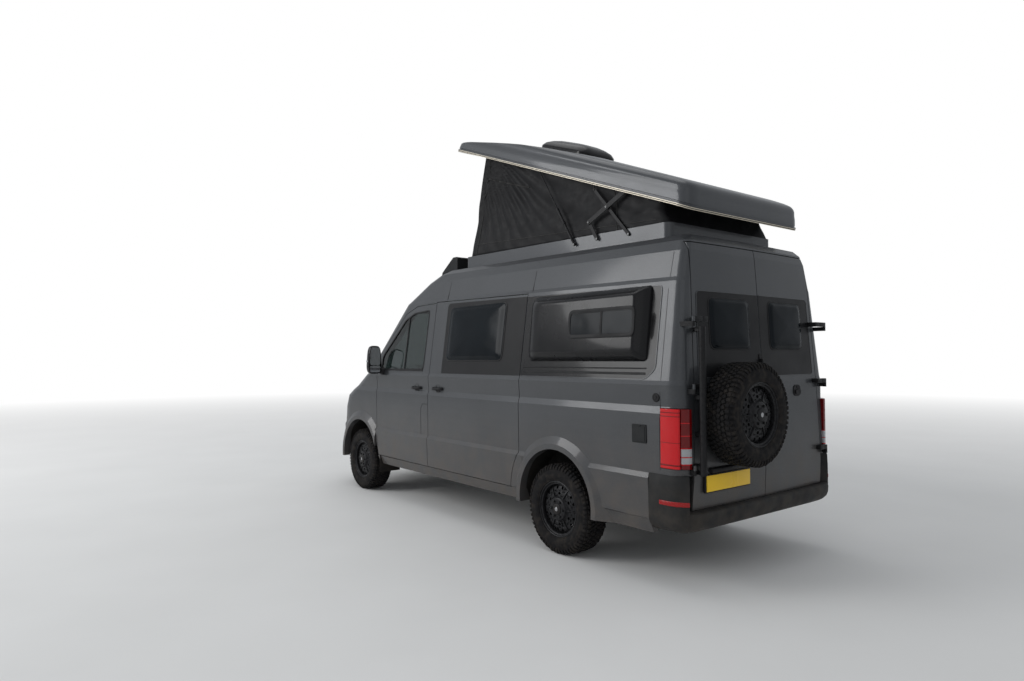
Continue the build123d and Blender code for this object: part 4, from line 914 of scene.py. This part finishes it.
def make_tail():
    bumper = Shape()
    for side, sign in SIDES:
        for name, plan, out, heights, material, edge, steps in LAMP_PARTS:
            part = Shape()
            for low, high in heights:
                part.rings([[P(x, sign * (y + out), z) for x, y in plan] for z in (low, high)])
            lamp = part.finish(name + side, material, edge=edge, steps=steps)
            if name + side == "tail_lamp_lens_left":
                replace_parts(lamp, "tail_lamps")
        strip = ((596, 4), (598, -3), (628, -3), (630, 4))
        strip = Shape().rings([bumper_points(k, sign, strip) for k in range(1, 6)])
        strip.finish("bumper_reflector_" + side, REFLECTOR, edge=3)
        bumper.rings([bumper_points(k, sign, CORNER_FACE + [(420, 82), (800, 82)]) for k in range(6)])
    last = len(BUMPER_PLAN) - 1
    spots = [(k, -1) for k in range(5, last)] + [(k, 1) for k in range(last, 4, -1)]
    bumper.rings([
        bumper_points(k, sign, BUMPER_FACE)
        + [P(BUMPER_BACK, sign * BUMPER_PLAN[k][1] * 0.98, z) for z in (424, 556)]
        for k, sign in spots
    ])
    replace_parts(bumper.finish("rear_bumper_moulding", PLASTIC, soften=30, edge=4, steps=3), "rear_bumper")
    rib = Shape().block((4898, -836, 555), (4950, -828, 563), 1.5)
    ribs = repeated(rib, PLASTIC, STEP_RIBS, step=(0.0, RIB_PITCH, 0.0), turn=(0.0, 0.0, 0.0))
    ribs.finish("rear_step_ribs", PLASTIC)
    door = "rear_door_left"
    Shape().block((4950, -750, 679), (4958, -230, 791), 2).finish("rear_number_plate", PLATE, door)
    holder = Shape().block((4932, -760, 670), (4952, -220, 800), 4)
    holder.block((4930, -700, 806), (4972, -280, 838), 8)
    holder.finish("number_plate_holder", TRIM, door, edge=1)


# Lifting roof
LID_PIVOT_X = 5114
LID_PIVOT_Z = 2658
LID_OPEN = radians(21)
LID_BASE = 2600
LID_TOP = 190
ARCH_RISE = 18
ARCH_FALL = 50
ARCH_MIDDLE = 3300
ARCH_REACH = 1770
# z above the base, front, rear, half width, front radius, rear radius
LID_SECTIONS = [
    (0, 1562, 4816, 745, 150, 100), (2, 1546, 4829, 755, 158, 108), (8, 1540, 4835, 758, 160, 110),
    (22, 1541, 4833, 758, 160, 110), (25, 1550, 4824, 751, 162, 110), (31, 1551, 4822, 751, 162, 110),
    (35, 1549, 4822, 755, 164, 110), (60, 1556, 4812, 755, 168, 110), (84, 1563, 4804, 753, 170, 110),
    (96, 1590, 4798, 751, 170, 110), (106, 1650, 4794, 749, 170, 110), (113, 1720, 4791, 748, 170, 110),
    (140, 2140, 4782, 745, 165, 110), (156, 2400, 4772, 740, 160, 110), (165, 2560, 4764, 732, 160, 108),
    (174, 2900, 4752, 722, 155, 106), (180, 3240, 4736, 706, 150, 104), (186, 3400, 4706, 672, 145, 102),
    (190, 3560, 4650, 610, 140, 100),
]
LID_INSIDE = [(150, 2700, 4700, 690, 140, 90), (88, 1750, 4770, 722, 150, 95), (0, 1592, 4790, 722, 140, 90)]
VENT = (2310, 3020, 235)
# z above the lid's top, inset of the ends and of the sides
VENT_ROWS = [
    (-62, 0, 0), (30, 0, 0), (40, 5, 5), (68, 30, 24), (92, 84, 66), (106, 150, 110), (110, 220, 150),
]


def swing(x, y, z):
    """Swing a point of the shut, slightly arched lid up about its pivot."""
    arch = ARCH_RISE - ARCH_FALL * ((x - ARCH_MIDDLE) / ARCH_REACH) ** 2
    turned = Matrix.Rotation(-LID_OPEN, 2) @ Vector((x - LID_PIVOT_X, z + arch - LID_PIVOT_Z))
    return P(LID_PIVOT_X + turned.x, y, LID_PIVOT_Z + turned.y)


def lid_outline(z, front, rear, half, front_radius, rear_radius):
    radii = tuple(1.1 * radius for radius in (front_radius, rear_radius, rear_radius, front_radius))
    return [swing(x, y, LID_BASE + z) for x, y in oblong(front, rear, -half, half, radii, 12)]


def make_lid():
    shell = Shape().rings([lid_outline(*row) for row in LID_INSIDE + LID_SECTIONS])
    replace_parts(shell.finish("lid_shell", LID_PAINT, "poptop_lid", 24), "poptop_lid")
    trim = Shape()
    for low, grow in ((-3, 2), (9, 3)):
        trim.rings([lid_outline(*row) for row in (
            (low, 1560 - grow, 4814 + grow, 748 + grow, 158, 108),
            (low + 1, 1542 - grow, 4832 + grow, 757 + grow, 160, 110),
            (low + 6, 1541 - grow, 4833 + grow, 757 + grow, 160, 110), (low + 7, 1552, 4824, 752, 160, 110),
        )], wrap=True)
    trim.finish("lid_edge_trim", EDGE, "poptop_lid", 40)
    pins = Shape()
    # place of each pin and where it starts
    for x, z, inner in ((4208, 2963, 708), (3085, 3394, 709.5)):
        side_bolt(pins, x, z, inner, 745, 7, 12)
    pins.finish("lid_pins", STEEL, "poptop_lid")


def make_vent():
    x0, x1, half = VENT
    dome = Shape().rings([lid_outline(LID_TOP + z, x0 + end, x1 - end, half - edge, 105, 105)
                          for z, end, edge in VENT_ROWS])
    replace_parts(dome.finish("roof_vent_dome", GLOSS, "poptop_lid", 28, 3), "roof_vent")
    # front and height of the lid's sloping top
    slope = [(row[1], row[0]) for row in LID_SECTIONS if row[0] > 90]
    skirt = Shape().rings([
        [swing(x, y, LID_BASE + follow(slope, x) + z) for x, y in
         oblong(x0 - grow, x1 + grow, -half - grow, half + grow, 118, 12)]
        for z, grow in ((-14, 24), (6, 24), (10, 18), (13, 2))
    ])
    skirt.finish("roof_vent_flange", TRIM, "poptop_lid")
    slats = Shape()
    for x in range(x0 + 240, x0 + 474, 26):
        slats.rings([
            [swing(x + dx, y, LID_BASE + LID_TOP + 98 - abs(y) * 0.05 + dz)
             for dx, dz in ((0, 0), (0, 12), (8, 12), (8, 0))]
            for y in (-80, -40, 0, 40, 80)
        ])
    slats.finish("roof_vent_ribs", TRIM, "poptop_lid")


# Canvas: x of the tent wall's foot and head at its front and its rear
CANVAS_FOOT = (1933, 4588)
CANVAS_HEAD = (2215, 4480)
CANVAS_HALF = 677
CANVAS_LIFT = 65
CANVAS_ROWS = 42
PLINTH_TOP = 2640.6
PLINTH_FALL = 0.0175
PLINTH_REAR = 4600
CORNER = Vector((0.035, 0.075))


def canvas_path():
    """Points round the tent wall: share along, share across, outward direction."""
    path = []
    # middle of the corner that ends each wall, and the points along the wall
    for k, (x, y, count) in enumerate(((1, 1, 44), (0, 1, 110), (0, -1, 44), (1, -1, 110))):
        centre = Vector((abs(x - CORNER.x), y * (1 - CORNER.y)))
        normal = ((1, 0), (0, 1), (-1, 0), (0, -1))[k]
        end = centre + CORNER * Vector(normal)
        reach = Vector((-normal[1] * (1 - 2 * CORNER.x), normal[0] * (2 - 2 * CORNER.y)))
        path += [(*(end - reach * (1 - i / count)), normal) for i in range(count)]
        for i in range(6):
            turn = k * pi / 2 + pi / 2 * i / 6
            out = (cos(turn), sin(turn))
            path.append((*(centre + CORNER * Vector(out)), out))
    return path


def crease(value, sharp):
    """A soft ridge that repeats: 0 in the valleys and 1 on the ridges."""
    return (0.5 + 0.5 * sin(value)) ** sharp


def canvas_point(along, across, normal, v, out=0.0):
    """A point on the tent wall at height share v, with its folds pushed inwards."""
    foot = CANVAS_FOOT[0] + along * (CANVAS_FOOT[1] - CANVAS_FOOT[0])
    head = CANVAS_HEAD[0] + along * (CANVAS_HEAD[1] - CANVAS_HEAD[0])
    low = PLINTH_TOP + PLINTH_FALL * (PLINTH_REAR - foot)
    under = (LID_BASE - LID_PIVOT_Z + CANVAS_LIFT) / cos(LID_OPEN)
    tall = LID_PIVOT_Z + (LID_PIVOT_X - head) * tan(LID_OPEN) + under - low
    x = foot + (head - foot) * v
    droop = sin(pi * min(1, max(0, v)))
    if abs(normal[1]) > 0.5:
        drop = (1 - v) * tall
        run = x - CANVAS_HEAD[0]
        # folds fan out from the upper front corner
        near = exp(-((run / 900) ** 2) - ((drop - 260) / 380) ** 2)
        press = 40 * near * crease(38 * atan2(drop + 60, run + 90) + 0.9 * sin(11 * along), 1.4)
        # slack rolls run along the lower half, and soft waves hang under the lid
        press += 15 * droop * crease(10 * v + 17 * along * along + across, 1.5)
        press += 9 * droop * crease(38 * along - 7 * v, 1.6)
        press += 7 * (1 - v) ** 3 * crease(70 * along + 4 * sin(9 * v), 2.0)
    else:
        press = 20 * droop * crease(6 * across + 5 * v, 2.0)
        press += 14 * droop * crease(15 * across - 9 * v, 2.5)
        press += 8 * max(0, v - 0.5) * crease(30 * across, 1.5)
    press = press * min(1, tall / 500) - out
    return P(x - normal[0] * press, across * CANVAS_HALF - normal[1] * press, low + tall * v)


def make_canvas():
    path = canvas_path()
    rings = [[canvas_point(*spot, k / CANVAS_ROWS) for spot in path] for k in range(CANVAS_ROWS + 1)]
    canvas = Shape().rings(rings, caps=False).finish("tent_canvas_wall", CLOTH, soften=180)
    wall = canvas.modifiers.new("Cloth", "SOLIDIFY")
    wall.thickness = 0.0015
    wall.offset = -1
    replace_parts(canvas, "canvas")
    seams = Shape()
    for side in (-1, 1):
        spots = sorted(s for s in path if s[1] == side and 0.04 < s[0] < 0.96)
        seams.tube([canvas_point(*s, 0.11, 1.5) for s in spots], 0.003, 6)
        seams.tube([canvas_point(*s, 0.74 - 0.16 * s[0], 2.5) for s in spots if s[0] < 0.33], 0.007, 6)
        for along in (0.05, 0.80):
            seams.tube([canvas_point(along, side, (0, side), k / 20, 1.5) for k in range(21)], 0.0035, 6)
    front = sorted((s for s in path if s[2] == (-1, 0)), key=lambda s: s[1])
    seams.tube([canvas_point(*s, 0.11, 1.5) for s in front], 0.003, 6)
    for across in (-0.62, 0.62):
        seams.tube([canvas_point(0, across, (-1, 0), k / 20, 1.5) for k in range(21)], 0.0035, 6)
    piping = seams.finish("tent_canvas_seams", PIPING, soften=60)
    for obj in (canvas, piping):
        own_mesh(obj)


def side_bolt(shape, x, z, y0, y1, radius=10, sides=6):
    """A round or six-sided pin on both sides of the van, standing out from y0 to y1."""
    for sign in (-1, 1):
        shape.tube([P(x, sign * y0, z), P(x, sign * y1, z)], radius * MM, sides)


def make_arm_pins():
    """Bolt heads and rivets of the lid's arms, and the collars on each gas strut."""
    pins = Shape()
    # place of each bolt, its seat and its height
    for x, z, y, tall in ((3579, 2600, 711, 5), (4197, 2600, 697, 5), (3851, 2610, 705, 3.4)):
        side_bolt(pins, x, z, y, y + tall)
    pins.finish("arm_pin_heads", RIVET)
    rivets = Shape()
    for x, z in ((3766, 2760), (3973, 2855)):
        side_bolt(rivets, x, z, 714.5, 720, 9, 12)
    rivets.finish("flat_bar_rivets", RIVET, "flat_bars")
    tips = Shape()
    collars = Shape()
    foot = Vector((3579, 0, 2600))
    along = (Vector((3085, 0, 3394)) - foot).normalized()
    turn = along.to_track_quat("Y", "Z").to_matrix().to_4x4()
    for sign in (-1, 1):
        tips.tube([P(3812, sign * 694, 3020), P(3828, sign * 694, 3112)], 0.006, 10)
        for reach, half, radius in ((242, 15, 15), (402, 9, 13)):
            place = Matrix.Translation(P(*(foot + along * reach + Vector((0, sign * 703, 0))))) @ turn
            collars.turned([(radius, -half), (radius, half), (9, half), (9, -half)], 20, place)
    side_bolt(tips, 3818, 3030, 697, 702, 9, 12)
    tips.finish("thin_arm_tips", RACK, "thin_arms")
    collars.finish("strut_collars", RACK, "strut_cylinders", edge=2, slot="chassis")


# Seats
PAD_STEPS = 28
PAD_POWER = 3.2
CHANNELS = (-150, 150)
CHANNEL_DEPTH = 6
CHANNEL_WIDTH = 9


def pad(name, centre, size, crown, turn=0.0, channels=()):
    """A stuffed pad: a crowned box whose edges round over, with sewn channels across it."""
    half = Vector(size) / 2
    rings = []
    for i in range(PAD_STEPS + 1):
        rise = pi * i / PAD_STEPS
        ring = []
        for c, s in circle(2 * PAD_STEPS):
            d = Vector((sin(rise) * c, sin(rise) * s, cos(rise)))
            p = d / sum(abs(value) ** PAD_POWER for value in d) ** (1 / PAD_POWER)
            lift = crown * (1 - p.x * p.x) * (1 - p.y * p.y)
            groove = sum(CHANNEL_DEPTH * exp(-((p.y * half.y - at) / CHANNEL_WIDTH) ** 2) for at in channels)
            puff = (lift - groove * (1 if abs(p.z) > 0.5 else 0.3)) * (1 if p.z > 0 else -0.2)
            local = Matrix.Rotation(turn, 3, "Y") @ Vector((p.x * half.x, p.y * half.y, p.z * half.z + puff))
            ring.append(P(*(Vector(centre) + local)))
        rings.append(ring)
    obj = Shape().rings(rings, caps=False).finish(name, SEAT, soften=80)
    return obj


def make_seats():
    for side, y in (("left", -430), ("right", 430)):
        cushion = pad("seat_cushion_" + side, (1075, y, 850), (500, 490, 150), 14, 0.0, CHANNELS)
        pad("seat_back_" + side, (1378, y, 1225), (650, 480, 120), 12, radians(-103), CHANNELS)
        pad("seat_headrest_" + side, (1472, y, 1668), (200, 250, 85), 8, radians(-96))
        base = Shape().block((880, y - 200, 562), (1280, y + 200, 780), 20)
        for post in (y - 50, y + 50):
            base.tube([P(1455, post, 1530), P(1462, post, 1610)], 0.006)
        base.finish("seat_base_" + side, TRIM)
        if y < 0:
            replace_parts(cushion, "cab_seats")


# Nose
# distance from the middle, height, radius
HEADLAMPS = [(690, 1000, 44), (812, 1030, 34)]
FOG_LAMP = (690, 560)
# radius and height above the nose
FOG_BEZEL = [(62, -12), (62, 6), (56, 9), (46, 5), (46, -12)]
FOG_LENS = [(46, -10), (46, 1), (36, 4), (18, 6), (1, 7)]


def nose_surface(name):
    """The front of a carried-over node as a surface of y and z."""
    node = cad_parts[name]
    points = [node.matrix_world @ v.co for v in node.data.vertices]
    tree = BVHTree.FromPolygons(points, [tuple(f.vertices) for f in node.data.polygons])

    def surface(y, z, out=0.0):
        """The point straight behind (y, z), moved outwards, and the outward direction."""
        place, normal = tree.ray_cast(P(-1500, y, z), Vector((1, 0, 0)))[:2]
        normal = normal if normal.x < 0 else -normal
        return place + normal * out * MM, normal

    return surface


def ring_on(shape, surface, y, z, rows):
    """Round rings about a point of the nose, square to it: (radius, height above it)."""
    base, normal = surface(y, z)
    up = (Vector((0, 0, 1)) - normal * normal.z).normalized()
    across = normal.cross(up)
    shape.rings([
        [base + (normal * out + (across * c + up * s) * radius) * MM for c, s in circle(32)]
        for radius, out in rows
    ])


def make_nose():
    lamp_face = nose_surface("headlamps")
    bumper = nose_surface("front_bumper")
    bezels, fog = Shape(), Shape()
    for side, sign in SIDES:
        bowls, lenses = Shape(), Shape()
        for y, z, size in HEADLAMPS:
            rows = [(size + 9, -12), (size + 9, 3), (size + 5, 5), (size, 3), (size, -12)]
            ring_on(bowls, lamp_face, sign * y, z, rows)
            rows = [(size, -10), (size, 0), (size * 0.8, 5), (size * 0.45, 8), (1, 9)]
            ring_on(lenses, lamp_face, sign * y, z, rows)
        bowls.finish("headlamp_bowls_" + side, BOWL, soften=40)
        lenses.finish("headlamp_lenses_" + side, LAMP_CLEAR, soften=60)
        line = [lamp_face(sign * y, 925 + 0.05 * (y - 620))[0] for y in range(600, 880, 15)]
        Shape().tube(line, 0.007).finish("daytime_lamp_" + side, LAMP_CLEAR, soften=60)
        for part, rows in ((bezels, FOG_BEZEL), (fog, FOG_LENS)):
            ring_on(part, bumper, sign * FOG_LAMP[0], FOG_LAMP[1], rows)
    bezels.finish("fog_lamp_bezels", TRIM, soften=40)
    fog.finish("fog_lamps", LAMP_CLEAR, soften=60)
    plate = oblong(-260, 260, 692, 803, 6)
    plate = Shape().clad(plate, lambda y, z, out: bumper(y, z, out)[0], 0.6, 2, 40)
    plate.finish("front_number_plate", PLATE_WHITE)
    wipers = Shape()
    for y0, y1 in ((-420, 60), (60, 560)):
        a, b = P(30, y0, 1452), P(50, y1, 1500)
        wipers.tube([a, a.lerp(b, 0.5) + Vector((-0.012, 0, 0.012)), b], 0.006, 6)
        wipers.tube([b + Vector((0.01, -0.3, 0.02)), b + Vector((0.0, 0.22, 0.02))], 0.007, 6)
    wipers.finish("windscreen_wipers", TRIM)


# Carried-over nodes: the first row whose beginning fits a node's name gives its finish
NODE_FINISH = [
    ("rear_door_ cab_door_ side_panel_ roof_shell cab_frame front_wings sliding_door bonnet", PAINT),
    ("roof_plinth poptop_lid", LID_PAINT), ("front_bumper rear_bumper wind_deflector", PLASTIC),
    ("mirror_ door_posts rear_hinge_brackets dashboard", TRIM), ("side_pods roof_vent grille", GLOSS),
    ("windscreen cab_glass_", GLASS), ("side_windows pod_windows rear_window_", ACRYLIC),
    ("floor_pan wheel_liners front_subframe rear_axle", CHASSIS),
    ("spare_carrier thin_arms flat_bars lower_links strut_", RACK), ("knuckle_ engine_block", CAST),
    ("headlamps", LAMP_DARK), ("tail_lamps", LAMP_RED), ("canvas", CLOTH), ("cab_seats", SEAT),
    ("tyre_ spare_tyre", RUBBER), ("rim_ spare_rim", RIM),
]


def finish_nodes():
    for name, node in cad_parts.items():
        material = next(finish for starts, finish in NODE_FINISH if name.startswith(tuple(starts.split())))
        for slot in node.material_slots:
            slot.material = material


# Stage, light and camera
FLOOR_HALF = 120.0
FADE_FROM = 5.0
FADE_TO = 26.0


def mixed(tree, factor, first, second, end):
    """Blend two shaders by a factor into the surface of an output node."""
    mix = tree.nodes.new("ShaderNodeMixShader")
    for socket, source in zip(mix.inputs, (factor, first, second)):
        tree.links.new(source, socket)
    tree.links.new(mix.outputs[0], end.inputs["Surface"])


def make_stage():
    """A pale floor; far from the van the camera sees it fade into the white backdrop."""
    floor = bpy.data.meshes.new("floor")
    corners = [(x * FLOOR_HALF, y * FLOOR_HALF, 0) for x, y in ((-1, -1), (1, -1), (1, 1), (-1, 1))]
    floor.from_pydata(corners, [], [range(4)])
    r = Recipe("pale_floor")
    r.finish(r.shade(0.8, 4, (700, 700, 690), (730, 730, 720)), r.span(r.noise(3), 0.85, 0.95))
    away = r.add("VectorMath", {0: r.place}, "Value", operation="LENGTH")
    far = r.span(away, 0.0, 1.0, FADE_FROM, FADE_TO)
    share = r.math("MULTIPLY", far, r.add("LightPath", {}, "Is Camera Ray"))
    glow = r.add("Emission", {"Color": (1000, 1000, 1000)})
    mixed(r.tree, share, r.shader.outputs[0], glow, r.tree.nodes["Material Output"])
    floor.materials.append(r.material)
    put("floor", floor)


# name, place, target height, size, power
LIGHTS = [
    ("key", (-8.0, -14.5, 8.0), 1.2, 10.0, 1280), ("top", (-2.0, 0.0, 15.0), 1.0, 12.0, 380),
    ("fill", (14.0, -9.0, 7.0), 1.3, 10.0, 60),
]


def make_light():
    for name, place, height, size, power in LIGHTS:
        lamp = bpy.data.lights.new(name, "AREA")
        lamp.shape = "DISK"
        lamp.size = size
        lamp.energy = power
        obj = put(name, lamp)
        obj.location = place
        obj.rotation_euler = (Vector((0, 0, height)) - obj.location).to_track_quat("-Z", "Y").to_euler()
    world = bpy.data.worlds.new("studio")
    world.use_nodes = True
    bpy.context.scene.world = world
    tree = world.node_tree
    tree.nodes.clear()
    shades = []
    for colour, strength in (((0.93, 0.96, 1.0, 1), 0.55), ((1, 1, 1, 1), 1.0)):
        shade = tree.nodes.new("ShaderNodeBackground")
        shade.inputs["Color"].default_value = colour
        shade.inputs["Strength"].default_value = strength
        shades.append(shade.outputs[0])
    seen = tree.nodes.new("ShaderNodeLightPath").outputs["Is Camera Ray"]
    mixed(tree, seen, *shades, tree.nodes.new("ShaderNodeOutputWorld"))


CAMERA_PLACE = (7892.8, -4753.1, 1627.6)
# yaw, a quarter turn and the pitch, roll
CAMERA_TURNS = ((52.07, "Z"), (91.387, "X"), (-0.281, "Z"))
FOCAL_PIXELS = 683.13
PHOTO_WIDE = 1024
SENSOR = 36.0


def make_camera():
    data = bpy.data.cameras.new("photo_camera")
    data.sensor_fit = "HORIZONTAL"
    data.sensor_width = SENSOR
    data.lens = FOCAL_PIXELS / PHOTO_WIDE * SENSOR
    data.clip_end = 500
    camera = put("photo_camera", data)
    place = Matrix.Translation(P(*CAMERA_PLACE))
    for angle, axis in CAMERA_TURNS:
        place = place @ Matrix.Rotation(radians(angle), 4, axis)
    camera.matrix_world = place
    bpy.context.scene.camera = camera


bpy.context.scene.view_settings.view_transform = "Standard"
for make in (
    make_stage, make_light, make_camera, finish_nodes, make_wheels, make_windows, make_pods,
    make_dark_panels, make_side_fittings, make_handles, make_cab_sides, make_tail, make_lid, make_vent,
    make_canvas, make_arm_pins, make_seats, make_nose,
):
    make()
